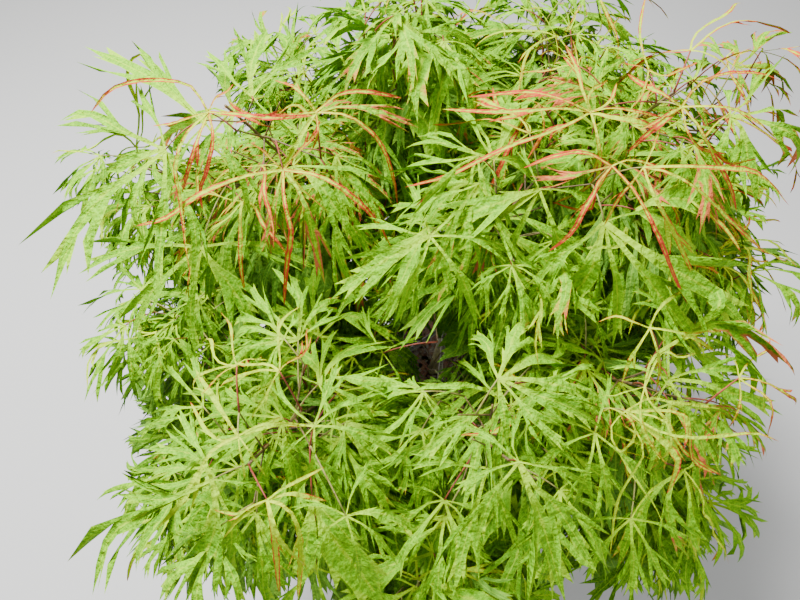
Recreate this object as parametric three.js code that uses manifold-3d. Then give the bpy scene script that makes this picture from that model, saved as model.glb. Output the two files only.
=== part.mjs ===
// A potted full moon maple: a young plant in a plain nursery pot. Open shoots rise and spread from
// a short leaning trunk, and carry long leaves that are cut to the base into narrow drooping lobes.
// Millimetres, +Z up. The origin is the middle of the pot's flat underside, and the front is -Y.
import * as THREE from "three";
import { mergeVertices } from "three/addons/utils/BufferGeometryUtils.js";
import Module from "manifold-3d";

const wasm = await Module();
wasm.setup();

// Clearances
const MERGE = 1e-3; // between points that count as one
const SEAT = 0.3; // between two pieces that touch
const CELL_WALL = 0.6; // from each mass to the wall of its own space
const LIMB_ROOM = 0.6; // between foliage and a limb that it passes

// Pot and potting mix
const POT = { foot: 114, mouth: 139, height: 268, wall: 3, floor: 5, band: 24, lip: 7 };
const LIP = { flare: 1, rounding: 1.5 }; // how far the band widens to its rim, and the rim's edge
const POT_SIDES = 32;
const DRAIN = { count: 6, radius: 8, height: 9, length: 18, sides: 6 };
const MIX = { level: 240, edge_drop: 6, crown: 45 };

// Trunk: a lean towards the front, a root flare, and an even taper
const TRUNK = { top: [30, -95, 690], foot_radius: 8, top_radius: 4.8, rings: 10, sides: 10 };
const TRUNK_SWEEP = 1.4; // over 1, the trunk leaves the pot upright and leans more as it rises
const RING_CROWDING = 1.8; // over 1, the trunk's rings stand closer together at its foot
const FLARE = { extra: 7, depth: 16 };

// Limbs. Each bough springs from the trunk, or from another bough, at a share of its length.
// end is the bough's tip and shoot the tip of the shoot that grows on from it, each as its reach
// from the pot's axis, its azimuth (0 is +X, 270 is the front) and its height.
const LIMBS = [
  { name: "upper_left", on: "trunk", spring: 0.93, end: [165, 212, 860], shoot: [285, 210, 1090] },
  { name: "top", on: "upper_left", spring: 0.4, end: [80, 190, 860], shoot: [125, 198, 1075] },
  { name: "upper_right", on: "trunk", spring: 0.97, end: [135, 315, 860], shoot: [235, 325, 1100] },
  { name: "top_back", on: "upper_right", spring: 0.4, end: [75, 10, 850], shoot: [150, 27, 1000] },
  { name: "top_front", on: "trunk", spring: 0.86, end: [180, 274, 845], shoot: [245, 275, 1045] },
  { name: "centre", on: "top_front", spring: 0.35, end: [290, 270, 780], shoot: [450, 273, 945] },
  { name: "left", on: "trunk", spring: 0.76, end: [215, 213, 700], shoot: [425, 216, 845] },
  { name: "far_left", on: "left", spring: 0.45, end: [215, 190, 750], shoot: [415, 186, 910] },
  { name: "front_left", on: "trunk", spring: 0.68, end: [300, 243, 730], shoot: [500, 245, 945] },
  { name: "low_left", on: "front_left", spring: 0.4, end: [310, 227, 590], shoot: [530, 231, 680] },
  { name: "front_right", on: "trunk", spring: 0.72, end: [255, 296, 730], shoot: [403, 292, 945] },
  { name: "low_right", on: "front_right", spring: 0.4, end: [280, 302, 600], shoot: [478, 298, 690] },
  { name: "right", on: "trunk", spring: 0.84, end: [195, 320, 770], shoot: [325, 317, 925] },
  { name: "far_right", on: "right", spring: 0.4, end: [195, 352, 730], shoot: [345, 352, 830] },
  { name: "low_front", on: "trunk", spring: 0.5, end: [310, 265, 600], shoot: [535, 264, 780] },
  { name: "back_left", on: "trunk", spring: 0.82, end: [150, 145, 770], shoot: [285, 150, 895] },
  { name: "low_back_left", on: "back_left", spring: 0.4, end: [195, 160, 640], shoot: [385, 160, 700] },
  { name: "back", on: "trunk", spring: 0.9, end: [105, 92, 790], shoot: [205, 94, 905] },
  { name: "back_right", on: "trunk", spring: 0.74, end: [170, 33, 730], shoot: [330, 26, 840] },
  { name: "low_back", on: "back_right", spring: 0.4, end: [180, 72, 630], shoot: [345, 76, 690] },
];
const BOUGH = { root_radius: 4.4, tip_radius: 2.9, rings: 4, sides: 6, out: 0.55, up: 0.42 };
const SIDE_BOUGH_SHARE = 0.8; // of the radius of the bough that carries it

// Shoots, leaf stalks and leaves of every mass
const SEED = 7919; // of the first mass, and the step from each to the next
const LEAD = { internodes: 4, root_radius: 2.7, tip_radius: 1.3, sides: 3, bend: 0.4 };
const SIDE = { angle: 52, length: [80, 125], internodes: 2, radius: 1.5, tip_radius: 1 };
const SIDE_SAG = 0.16; // how far a side shoot may nod at each internode
const SIDE_SHORTENING = 0.35; // from the side shoots at the foot of a lead to those at its tip
const STALK = { angle: 58, length: [28, 50], radius: 1.1, rise: 0.25 };
const LEAF = { lobes: 7, spread: 38, length: [92, 124], width: 0.14, fall: [10, 38] };
const YOUNG_LEAF = { lobes: 5, spread: 46, length: [86, 116], width: 0.07, fall: [5, 50] };
const BLADE = { hub: 0.09, neck: 0.02, thickness: 1.4, shoulder: 0.5 };
const OUTER_LOBE = { share: 0.55, curve: 1.5 }; // of the middle lobe's length, and how soon it falls
const BLADE_POSE = { flatten: 0.65, nod: 0.1, upright: 1.6, outward: 0.3 };
const MOST_LEAVES = 6; // in a mass
const HEART = 0.8; // share of a shoot's length at which the middle of its mass lies
const SIZES = [1, 0.78]; // shares of its full size at which a leaf is tried
const CROSSING = 1; // cubic millimetre that two stalks may share where they meet in a twig
const STREAM = { factor: 1664525, step: 1013904223, range: 2 ** 32 }; // of its seeded numbers
const STEEP = 0.9; // rise of a line above which X, and not +Z, sets how its rings are turned

const UP = new THREE.Vector3(0, 0, 1);
const radians = THREE.MathUtils.degToRad;
const at = (reach, azimuth, height) => {
  const turn = radians(azimuth);
  return new THREE.Vector3(reach * Math.cos(turn), reach * Math.sin(turn), height);
};
const between = ([low, high], share) => low + (high - low) * share;

// A repeatable stream of numbers from 0 to 1
function seeded(seed) {
  let state = seed >>> 0;
  return () => {
    state = (Math.imul(state, STREAM.factor) + STREAM.step) >>> 0;
    return state / STREAM.range;
  };
}

// Solids and geometries
function solidOf(geometry) {
  geometry.deleteAttribute("normal");
  geometry.deleteAttribute("uv");
  const merged = mergeVertices(geometry, MERGE);
  const vertProperties = new Float32Array(merged.attributes.position.array);
  const triVerts = new Uint32Array(merged.index.array);
  return new wasm.Manifold(new wasm.Mesh({ numProp: 3, vertProperties, triVerts }));
}

function geometryOf(solid) {
  const mesh = solid.getMesh();
  const geometry = new THREE.BufferGeometry();
  geometry.setAttribute("position", new THREE.BufferAttribute(mesh.vertProperties, 3));
  geometry.setIndex(new THREE.BufferAttribute(mesh.triVerts, 1));
  return geometry;
}

// A cut or join without its loose scraps, and with the hollows that it seals filled
function largestOf(solid) {
  const bodies = solidOf(geometryOf(solid)).decompose();
  return bodies.sort((a, b) => b.volume() - a.volume())[0];
}

// The direction of a line of points at each of them
function directionsOf(points) {
  return points.map((_, k) => {
    const ahead = points[Math.min(k + 1, points.length - 1)];
    return ahead.clone().sub(points[Math.max(k - 1, 0)]).normalize();
  });
}

// Two directions square to each point's own direction, carried along the line without twisting
function framesAlong(axes) {
  let level = null;
  return axes.map((axis) => {
    const guess = level ?? (Math.abs(axis.z) > STEEP ? new THREE.Vector3(1, 0, 0) : UP);
    level = guess.clone().addScaledVector(axis, -guess.dot(axis)).normalize();
    return { axis, level, side: axis.clone().cross(level) };
  });
}

// A round limb of the given radius at each point of a line, closed at both ends
function limbAlong(points, radii, sides, axes = directionsOf(points)) {
  const frames = framesAlong(axes);
  const steps = points.length - 1;
  const geometry = new THREE.CylinderGeometry(1, 1, 1, sides, steps);
  const position = geometry.attributes.position;
  const spot = new THREE.Vector3();
  for (let i = 0; i < position.count; i += 1) {
    spot.fromBufferAttribute(position, i);
    const k = Math.round((spot.y + 0.5) * steps);
    const placed = points[k]
      .clone()
      .addScaledVector(frames[k].side, spot.x * radii[k])
      .addScaledVector(frames[k].level, spot.z * radii[k]);
    position.setXYZ(i, placed.x, placed.y, placed.z);
  }
  return solidOf(geometry);
}

const pointsOn = (curve, count) => curve.getSpacedPoints(count - 1);
const axesOn = (curve, count) =>
  Array.from({ length: count }, (_, k) => curve.getTangentAt(k / (count - 1)));
const taper = (count, from, to) =>
  Array.from({ length: count }, (_, k) => from + ((to - from) * k) / (count - 1));

// Pot: one lathed wall and floor with a banded lip, and drain holes round its foot
function potSolid() {
  const { foot, mouth, height, wall, floor, band, lip } = POT;
  const shoulder = height - band;
  const slope = (mouth - foot) / shoulder;
  const profile = [
    [0, 0],
    [foot - wall, 0],
    [foot, wall],
    [mouth, shoulder],
    [mouth + lip, shoulder + wall],
    [mouth + lip + LIP.flare, height - wall],
    [mouth + lip - LIP.rounding, height],
    [mouth + lip - wall, height],
    [mouth + lip - wall - LIP.flare, shoulder + 2 * wall],
    [mouth - wall, shoulder + wall],
    [foot - wall + slope * floor, floor],
    [0, floor],
  ].map(([radius, level]) => new THREE.Vector2(radius, level));
  let pot = solidOf(new THREE.LatheGeometry(profile, POT_SIDES).rotateX(Math.PI / 2));
  for (let k = 0; k < DRAIN.count; k += 1) {
    const turn = (k + 0.5) * (360 / DRAIN.count);
    const hole = new THREE.CylinderGeometry(DRAIN.radius, DRAIN.radius, DRAIN.length, DRAIN.sides);
    hole.rotateZ(Math.PI / 2).translate(foot - wall / 2, 0, DRAIN.height + DRAIN.radius);
    pot = pot.subtract(solidOf(hole.rotateZ(radians(turn))));
  }
  return pot;
}

// Potting mix: a plug that fills the pot up to a low, flat-topped mound
function mixSolid() {
  const { foot, mouth, height, wall, floor, band } = POT;
  const slope = (mouth - foot) / (height - band);
  const inner = (level) => foot - wall + slope * level - SEAT;
  const bottom = floor + SEAT;
  const edge = MIX.level - MIX.edge_drop;
  const profile = [
    [0, bottom],
    [inner(bottom), bottom],
    [inner(edge), edge],
    [MIX.crown, MIX.level],
    [0, MIX.level],
  ].map(([radius, level]) => new THREE.Vector2(radius, level));
  return solidOf(new THREE.LatheGeometry(profile, POT_SIDES).rotateX(Math.PI / 2));
}

// The trunk's middle at a height
function trunkAt(height) {
  const [x, y, top] = TRUNK.top;
  const sweep = ((height - MIX.level) / (top - MIX.level)) ** TRUNK_SWEEP;
  return new THREE.Vector3(x * sweep, y * sweep, height);
}

function trunkSolid(extra = 0) {
  const foot = MIX.level + SEAT;
  const rise = TRUNK.top[2] - foot;
  const levels = Array.from(
    { length: TRUNK.rings },
    (_, k) => foot + rise * (k / (TRUNK.rings - 1)) ** RING_CROWDING,
  );
  const radii = levels.map((level) => {
    const share = (level - foot) / rise;
    const flare = FLARE.extra * Math.exp((foot - level) / FLARE.depth);
    return TRUNK.foot_radius + (TRUNK.top_radius - TRUNK.foot_radius) * share + flare + extra;
  });
  const upright = levels.map(() => UP);
  return limbAlong(levels.map(trunkAt), radii, TRUNK.sides, upright);
}

// A bough's line runs from the middle of what carries it to its tip. Its shoot's line runs on.
const limbNamed = (name) => LIMBS.find((limb) => limb.name === name);

function springOf({ on, spring }) {
  if (on === "trunk") return trunkAt(MIX.level + (TRUNK.top[2] - MIX.level) * spring);
  const carrier = pointsOn(boughLine(limbNamed(on)), BOUGH.rings);
  const along = spring * (BOUGH.rings - 1);
  const k = Math.floor(along);
  return carrier[k].clone().lerp(carrier[k + 1], along - k);
}

function boughLine(limb) {
  const from = springOf(limb);
  const to = at(...limb.end);
  const bend = from.clone().lerp(to, BOUGH.out);
  bend.z = from.z + (to.z - from.z) * BOUGH.up;
  return new THREE.QuadraticBezierCurve3(from, bend, to);
}

function shootLine(limb) {
  const bough = boughLine(limb);
  const axis = bough.getTangent(1);
  const from = bough.getPoint(1).addScaledVector(axis, SEAT);
  const to = at(...limb.shoot);
  const bend = from.clone().addScaledVector(axis, from.distanceTo(to) * LEAD.bend);
  return new THREE.QuadraticBezierCurve3(from, bend, to);
}

function taperedOn(curve, count, from, to, sides) {
  return limbAlong(pointsOn(curve, count), taper(count, from, to), sides, axesOn(curve, count));
}

function boughSolid(limb, extra = 0) {
  const root = BOUGH.root_radius * (limb.on === "trunk" ? 1 : SIDE_BOUGH_SHARE) + extra;
  return taperedOn(boughLine(limb), BOUGH.rings, root, BOUGH.tip_radius + extra, BOUGH.sides);
}

// Growth rule of a mass: its shoots, and the places of its leaves
function around(axis, angle) {
  const level = UP.clone().cross(axis).normalize();
  const rise = axis.clone().cross(level);
  return level.multiplyScalar(Math.cos(angle)).addScaledVector(rise, Math.sin(angle));
}

function leaving(axis, turn, angle) {
  const lean = radians(angle);
  return axis.clone().multiplyScalar(Math.cos(lean)).addScaledVector(turn, Math.sin(lean));
}

function placeLeaf(node, axis, turn, kind, next) {
  const { flatten, nod, upright, outward } = BLADE_POSE;
  const heading = leaving(axis, turn, STALK.angle).addScaledVector(UP, STALK.rise).normalize();
  const base = node.clone().addScaledVector(heading, between(STALK.length, next()));
  const forward = heading.clone().addScaledVector(UP, -flatten * heading.z - nod).normalize();
  const tilt = new THREE.Vector3(next() - 0.5, next() - 0.5, upright).addScaledVector(turn, outward);
  const normal = tilt.addScaledVector(forward, -tilt.dot(forward)).normalize();
  const length = between(kind.length, next());
  const falls = Array.from({ length: kind.lobes }, () => radians(between(kind.fall, next())));
  return { kind, node, base, forward, normal, length, falls };
}

function growSide(node, axis, turn, share, next) {
  const points = [node];
  const heading = leaving(axis, turn, SIDE.angle);
  const length = between(SIDE.length, next()) * (1 - SIDE_SHORTENING * share);
  for (let k = 0; k < SIDE.internodes; k += 1) {
    heading.addScaledVector(UP, -SIDE_SAG * next()).normalize();
    points.push(points[k].clone().addScaledVector(heading, length / SIDE.internodes));
  }
  return points;
}

// Leaves stand in pairs at each node, every pair square to the last, as on the real plant
function pairAt(line, k, angle, kind, next) {
  const axis = directionsOf(line)[k];
  const turn = around(axis, angle);
  return [turn, turn.clone().negate()].map((way) => placeLeaf(line[k], axis, way, kind, next));
}

// One leaf at a shoot's tip for every two further in, from the tip of the mass down
function dealt(tips, inner) {
  const leaves = [];
  while (tips.length + inner.length > 0) leaves.push(...tips.splice(-1), ...inner.splice(-2));
  return leaves;
}

function growMass(limb, index) {
  const next = seeded(SEED * (index + 1));
  next();
  const lead = pointsOn(shootLine(limb), LEAD.internodes + 1);
  const axes = directionsOf(lead);
  const first = next() * Math.PI;
  const shoots = [];
  const tips = [];
  const inner = [];
  for (let k = 1; k < LEAD.internodes; k += 1) {
    const angle = first + (k * Math.PI) / 2;
    const turn = around(axes[k], angle);
    const side = growSide(lead[k], axes[k], turn, k / LEAD.internodes, next);
    shoots.push(side);
    tips.push(...pairAt(side, SIDE.internodes, angle, YOUNG_LEAF, next));
    inner.push(...pairAt(side, 1, angle + Math.PI / 2, LEAF, next));
    inner.push(placeLeaf(lead[k], axes[k], turn.clone().negate(), LEAF, next));
  }
  tips.push(...pairAt(lead, LEAD.internodes, first, YOUNG_LEAF, next));
  return { shoots, leaves: dealt(tips, inner) };
}

// A leaf is one closed skin: narrow lobes round a small hub, each a thin blade with one shoulder,
// and a stalk that runs from the back of the hub into the twig
function leafSolid(leaf) {
  const { kind, base, normal, length, falls } = leaf;
  const last = (kind.lobes - 1) / 2;
  const neck = length * BLADE.neck;
  const points = [
    base.clone().addScaledVector(normal, BLADE.thickness),
    base.clone().addScaledVector(normal, -BLADE.thickness),
    onLeaf(leaf, -(last + 0.5), neck, 0),
  ];
  const faces = [];
  for (let k = 0; k < kind.lobes - 1; k += 1) {
    const steeper = Math.max(falls[k], falls[k + 1]);
    addLobe(leaf, k, onLeaf(leaf, k - last + 0.5, length * BLADE.hub, steeper), points, faces);
  }
  addLobe(leaf, kind.lobes - 1, onLeaf(leaf, last + 0.5, neck, 0), points, faces);
  addStalk(leaf, points, faces);
  const skin = new THREE.BufferGeometry().setFromPoints(points);
  skin.setIndex(faces.flat());
  return solidOf(skin);
}

// A point on a leaf, at so many lobes' spread round from its middle line and a reach from its base
function onLeaf({ kind, base, forward, normal }, lobesRound, reach, fall) {
  const angle = radians(kind.spread) * lobesRound;
  const side = normal.clone().cross(forward);
  return base
    .clone()
    .addScaledVector(forward, Math.cos(angle) * Math.cos(fall) * reach)
    .addScaledVector(side, Math.sin(angle) * Math.cos(fall) * reach)
    .addScaledVector(UP, -Math.sin(fall) * reach);
}

// One lobe runs from the notch before it, the last point so far, to the notch after it
function addLobe(leaf, k, end, points, faces) {
  const { kind, length, falls } = leaf;
  const last = (kind.lobes - 1) / 2;
  const outerness = Math.abs(k / last - 1);
  const reach = length * (1 - (1 - OUTER_LOBE.share) * outerness ** OUTER_LOBE.curve);
  const start = points.length - 1;
  const [shoulder, ridge, tip, notch] = [start + 1, start + 2, start + 3, start + 4];
  const root = points[start].clone().lerp(end, 0.5);
  const point = onLeaf(leaf, k - last, reach, falls[k]);
  const middle = root.clone().lerp(point, BLADE.shoulder);
  const outward = end.clone().sub(points[start]).setLength(length * kind.width);
  const lift = point.clone().sub(root).cross(outward).setLength(BLADE.thickness);
  const left = k % 2 === 0;
  points.push(
    middle.clone().addScaledVector(outward, left ? 1 : -1),
    middle.clone().add(lift),
    point,
    end,
  );
  const [near, far] = left ? [notch, start] : [start, notch];
  const fan = [
    [0, ridge, near],
    [near, ridge, shoulder],
    [shoulder, ridge, tip],
    [tip, ridge, far],
    [far, ridge, 0],
    [1, near, far],
    [near, tip, far],
    [near, shoulder, tip],
  ];
  faces.push(...(left ? fan : fan.map(([a, b, c]) => [a, c, b])));
}

// The stalk closes the skin from the back of the hub to its own end in the twig
function addStalk({ node, base, normal }, points, faces) {
  const rim = [0, 2, 1, points.length - 1];
  const axis = base.clone().sub(node).normalize();
  const level = normal.clone().addScaledVector(axis, -normal.dot(axis)).normalize();
  const across = axis.clone().cross(level);
  const foot = points.length;
  for (const way of [level, across, level.clone().negate(), across.clone().negate()]) {
    points.push(node.clone().addScaledVector(way, STALK.radius));
  }
  rim.forEach((corner, k) => {
    const following = (k + 1) % rim.length;
    faces.push([corner, foot + following, rim[following]], [corner, foot + k, foot + following]);
  });
  faces.push([foot, foot + 2, foot + 1], [foot, foot + 3, foot + 2]);
}

// The space of a mass is what lies nearer to the middle of its shoots than to any other's
const hearts = LIMBS.map((limb) => shootLine(limb).getPoint(HEART));

function inCell(solid, index) {
  const { vertProperties, numProp } = solid.getMesh();
  const spot = new THREE.Vector3();
  for (let i = 0; i < vertProperties.length; i += numProp) {
    spot.fromArray(vertProperties, i);
    for (let other = 0; other < hearts.length; other += 1) {
      if (other === index) continue;
      const across = hearts[other].clone().sub(hearts[index]);
      const past = spot.clone().sub(hearts[index]).dot(across) / across.length();
      if (past > across.length() / 2 - CELL_WALL) return false;
    }
  }
  return true;
}

function leadSolid(limb, extra = 0) {
  const { internodes, root_radius: root, tip_radius: tip } = LEAD;
  return taperedOn(shootLine(limb), internodes + 1, root + extra, tip + extra, LEAD.sides);
}

// A mass is its lead with the side shoots and leaves that fit. A shoot or leaf that would leave the
// mass's space, touch a limb or another mass's lead, or cut through another leaf is skipped.
function massSolid(limb, index, limbs) {
  const { shoots, leaves } = growMass(limb, index);
  const obstacles = LIMBS.filter((other) => other !== limb)
    .map((other) => leadSolid(other, LIMB_ROOM))
    .reduce((joined, solid) => joined.add(solid), limbs);
  const clear = (solid) => inCell(solid, index) && obstacles.intersect(solid).volume() === 0;
  const bare = new Set(shoots.flatMap((line) => line.slice(1)));
  let mass = leadSolid(limb);
  for (const line of shoots) {
    const twig = limbAlong(line, taper(line.length, SIDE.radius, SIDE.tip_radius), LEAD.sides);
    if (!clear(twig)) continue;
    mass = mass.add(twig);
    line.forEach((point) => bare.delete(point));
  }
  const placed = [];
  const apart = (solid) => placed.every((one) => one.intersect(solid).volume() < CROSSING);
  for (const leaf of leaves) {
    if (placed.length === MOST_LEAVES || bare.has(leaf.node)) continue;
    const sizes = SIZES.map((share) => leafSolid({ ...leaf, length: leaf.length * share }));
    const fitting = sizes.find((solid) => clear(solid) && apart(solid));
    if (!fitting) continue;
    placed.push(fitting);
    mass = mass.add(fitting);
  }
  return largestOf(mass);
}

// Finishes
const finish = (color, roughness) =>
  new THREE.MeshStandardMaterial({ color, roughness, metalness: 0 });
const FINISHES = {
  pot: finish(0x26272a, 0.55),
  mix: finish(0x4a3426, 0.95),
  bark: finish(0x5f5a2c, 0.7),
  leaf: finish(0x7fb53c, 0.5),
};

// Assembly
const maple = new THREE.Group();
function addPiece(name, solid, material) {
  const mesh = new THREE.Mesh(geometryOf(solid), material);
  mesh.name = name;
  maple.add(mesh);
}

addPiece("pot", potSolid(), FINISHES.pot);
addPiece("potting_mix", mixSolid(), FINISHES.mix);
addPiece("trunk", trunkSolid(), FINISHES.bark);

let limbs = trunkSolid(LIMB_ROOM);
for (const limb of LIMBS) {
  const carrier = limb.on === "trunk" ? trunkSolid(SEAT) : boughSolid(limbNamed(limb.on), SEAT);
  addPiece(`bough_${limb.name}`, largestOf(boughSolid(limb).subtract(carrier)), FINISHES.bark);
  limbs = limbs.add(boughSolid(limb, LIMB_ROOM));
}
LIMBS.forEach((limb, index) => {
  addPiece(`foliage_${limb.name}`, massSolid(limb, index, limbs), FINISHES.leaf);
});

export default maple;
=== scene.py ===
"""Looks of a potted full moon maple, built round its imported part.

The part gives the pot, the potting mix, the trunk, the boughs and the space of each mass of
foliage. This script grows the crown again by the part's own seeded rule, carries it on to finer
twigs and to the lobes of every leaf, and gives each surface its finish. Growth is reckoned in
millimetres, as the limbs are, and turned into metres as each mesh is made.
"""

import logging
import math
from collections.abc import Callable, Iterable, Sequence
from dataclasses import dataclass, field
from enum import Enum

import bmesh
import bpy
import numpy as np
from mathutils import Euler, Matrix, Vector


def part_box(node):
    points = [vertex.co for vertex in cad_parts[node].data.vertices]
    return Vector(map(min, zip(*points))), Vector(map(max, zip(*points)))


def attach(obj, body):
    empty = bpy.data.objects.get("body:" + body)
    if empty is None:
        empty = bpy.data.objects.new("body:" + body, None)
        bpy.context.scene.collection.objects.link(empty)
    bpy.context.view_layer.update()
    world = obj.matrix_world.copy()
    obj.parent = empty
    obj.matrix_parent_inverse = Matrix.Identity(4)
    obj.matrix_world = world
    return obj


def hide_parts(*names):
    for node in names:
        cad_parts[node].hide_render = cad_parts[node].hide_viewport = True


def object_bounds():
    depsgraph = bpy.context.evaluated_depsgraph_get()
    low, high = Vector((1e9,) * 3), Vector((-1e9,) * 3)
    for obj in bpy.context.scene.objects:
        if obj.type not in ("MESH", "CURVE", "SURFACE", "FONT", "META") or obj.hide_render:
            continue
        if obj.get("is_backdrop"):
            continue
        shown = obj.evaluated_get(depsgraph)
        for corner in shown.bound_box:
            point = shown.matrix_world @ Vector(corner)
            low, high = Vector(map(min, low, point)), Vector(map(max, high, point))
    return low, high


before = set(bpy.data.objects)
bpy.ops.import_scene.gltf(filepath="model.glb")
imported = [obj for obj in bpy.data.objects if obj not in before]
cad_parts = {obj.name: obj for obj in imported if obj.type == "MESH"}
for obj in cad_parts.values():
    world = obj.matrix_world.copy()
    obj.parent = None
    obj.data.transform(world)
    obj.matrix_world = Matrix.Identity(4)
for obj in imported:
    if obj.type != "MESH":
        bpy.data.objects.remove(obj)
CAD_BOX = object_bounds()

Vec = np.ndarray
Place = tuple[float, float, float]
Colour = tuple[float, float, float]
Span = tuple[float, float]
Generator = np.random.Generator
Object = bpy.types.Object
Material = bpy.types.Material
Socket = bpy.types.NodeSocket
Value = Socket | float | tuple[float, ...]

log = logging.getLogger("maple")

MM = 0.001
UP = np.array((0.0, 0.0, 1.0))
BODY = "root"
LOBE_MAP = "lobe"
SPRAY_MAP = "spray"


class Slot(Enum):
    """The record's material slots."""

    POT = "pot"
    MIX = "bark_mulch"
    BARK = "bark"
    LEAF = "leaf"


# Small helpers


def unit(vector: Vec) -> Vec:
    """The direction of a vector."""
    return vector / np.linalg.norm(vector)


def unit_rows(rows: Vec) -> Vec:
    """The direction of each vector along the last axis."""
    return rows / np.maximum(np.linalg.norm(rows, axis=-1, keepdims=True), 1e-12)


def at(reach: float, azimuth: float, height: float) -> Vec:
    """A point by its reach from the pot's axis, its azimuth in degrees and its height."""
    turn = math.radians(azimuth)
    return np.array((reach * math.cos(turn), reach * math.sin(turn), height))


def between(span: Span, share: float) -> float:
    """The value at a share of a span."""
    return span[0] + (span[1] - span[0]) * share


def runs_of(line: Vec) -> Vec:
    """How far along a line each of its points lies."""
    return np.r_[0, np.cumsum(np.linalg.norm(np.diff(line, axis=0), axis=1))]


class Stream:
    """A repeatable stream of numbers from 0 to 1, the same one that the part's source draws from."""

    FACTOR = 1664525
    STEP = 1013904223
    RANGE = 2**32

    def __init__(self, seed: int) -> None:
        """Starts the stream at a seed, and throws its first number away, as the part does."""
        self.state = seed % self.RANGE
        self()

    def __call__(self) -> float:
        """The next number."""
        self.state = (self.state * self.FACTOR + self.STEP) % self.RANGE
        return self.state / self.RANGE


@dataclass(frozen=True)
class Bend:
    """A curve between two points, drawn towards a third, with places reckoned by length along it."""

    start: Vec
    pull: Vec
    end: Vec
    divisions: int = 200
    nudge: float = 1e-4

    def point(self, t: float) -> Vec:
        """The point at the curve's own parameter."""
        return (1 - t) ** 2 * self.start + 2 * (1 - t) * t * self.pull + t**2 * self.end

    def spaced(self, count: int) -> Vec:
        """So many points at even lengths along the curve, with both ends."""
        marks = np.linspace(0, 1, self.divisions + 1)
        runs = runs_of(np.array([self.point(t) for t in marks]))
        return np.array([self.point(t) for t in np.interp(np.linspace(0, runs[-1], count), runs, marks)])

    def axis(self, t: float) -> Vec:
        """The curve's direction at a parameter."""
        before, after = max(t - self.nudge, 0.0), min(t + self.nudge, 1.0)
        return unit(self.point(after) - self.point(before))


def directions(points: Vec) -> Vec:
    """The direction of a line of points at each of them."""
    last = len(points) - 1
    return np.array([unit(points[min(k + 1, last)] - points[max(k - 1, 0)]) for k in range(last + 1)])


def smooth_line(points: Vec, count: int, finer: int = 12) -> Vec:
    """A smooth line through some points.

    Args:
        points: The points that it passes.
        count: How many points it gets, evenly spaced along it.
        finer: How many steps it is reckoned in between two of the given points.

    Returns:
        The points of the line.
    """
    padded = np.vstack((2 * points[0] - points[1], points, 2 * points[-1] - points[-2]))
    t = np.linspace(0, 1, finer, endpoint=False)[:, None]
    spans = []
    for a, b, c, d in zip(padded, padded[1:], padded[2:], padded[3:]):
        bend = (2 * a - 5 * b + 4 * c - d) * t**2 + (3 * b - a - 3 * c + d) * t**3
        spans.append((2 * b + (c - a) * t + bend) / 2)
    dense = np.vstack((*spans, points[-1:]))
    runs = runs_of(dense)
    marks = np.linspace(0, runs[-1], count)
    return np.stack([np.interp(marks, runs, dense[:, axis]) for axis in range(3)], axis=1)


def around(axis: Vec, angle: float) -> Vec:
    """The direction square to an axis at an angle round it, from level upwards."""
    level = unit(np.cross(UP, axis))
    return level * math.cos(angle) + np.cross(axis, level) * math.sin(angle)


def leaving(axis: Vec, turn: Vec, degrees: float) -> Vec:
    """An axis leant towards a turn."""
    lean = math.radians(degrees)
    return axis * math.cos(lean) + turn * math.sin(lean)


# The limbs, as the part has them


@dataclass(frozen=True)
class Limb:
    """A bough and the shoot that grows on from it, each end as (reach, azimuth, height) in mm.

    Attributes:
        name: Its plain name, which its bough and its foliage share.
        on: What carries it, the trunk or another bough.
        spring: The share of that length at which it springs.
        end, shoot: The tips of the bough and of the shoot.
        blush: How far its young leaves have flushed coral, from 0 to 1.
        open: The share of its leaves that it goes without, where the crown is airy.
    """

    name: str
    on: str
    spring: float
    end: Place
    shoot: Place
    blush: float
    open: float = 0.0

    @property
    def foliage(self) -> str:
        """The name of its mass of foliage in the part."""
        return f"foliage_{self.name}"

    @property
    def bough(self) -> str:
        """The name of its bough in the part."""
        return f"bough_{self.name}"


LIMBS = (
    Limb("upper_left", "trunk", 0.93, (165, 212, 860), (285, 210, 1090), 1.0, 0.4),
    Limb("top", "upper_left", 0.4, (80, 190, 860), (125, 198, 1075), 0.5),
    Limb("upper_right", "trunk", 0.97, (135, 315, 860), (235, 325, 1100), 1.0, 0.35),
    Limb("top_back", "upper_right", 0.4, (75, 10, 850), (150, 27, 1000), 0.5),
    Limb("top_front", "trunk", 0.86, (180, 274, 845), (245, 275, 1045), 0.35),
    Limb("centre", "top_front", 0.35, (290, 270, 780), (450, 273, 945), 0.1),
    Limb("left", "trunk", 0.76, (215, 213, 700), (425, 216, 845), 0.1),
    Limb("far_left", "left", 0.45, (215, 190, 750), (415, 186, 910), 0.2, 0.45),
    Limb("front_left", "trunk", 0.68, (300, 243, 730), (500, 245, 945), 0.35),
    Limb("low_left", "front_left", 0.4, (310, 227, 590), (530, 231, 680), 0.1),
    Limb("front_right", "trunk", 0.72, (255, 296, 730), (403, 292, 945), 0.8),
    Limb("low_right", "front_right", 0.4, (280, 302, 600), (478, 298, 690), 0.1),
    Limb("right", "trunk", 0.84, (195, 320, 770), (325, 317, 925), 0.8),
    Limb("far_right", "right", 0.4, (195, 352, 730), (345, 352, 830), 0.4, 0.25),
    Limb("low_front", "trunk", 0.5, (310, 265, 600), (535, 264, 780), 0.1),
    Limb("back_left", "trunk", 0.82, (150, 145, 770), (285, 150, 895), 0.3, 0.2),
    Limb("low_back_left", "back_left", 0.4, (195, 160, 640), (385, 160, 700), 0.1, 0.1),
    Limb("back", "trunk", 0.9, (105, 92, 790), (205, 94, 905), 0.4),
    Limb("back_right", "trunk", 0.74, (170, 33, 730), (330, 26, 840), 0.3, 0.2),
    Limb("low_back", "back_right", 0.4, (180, 72, 630), (345, 76, 690), 0.1),
)
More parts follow.
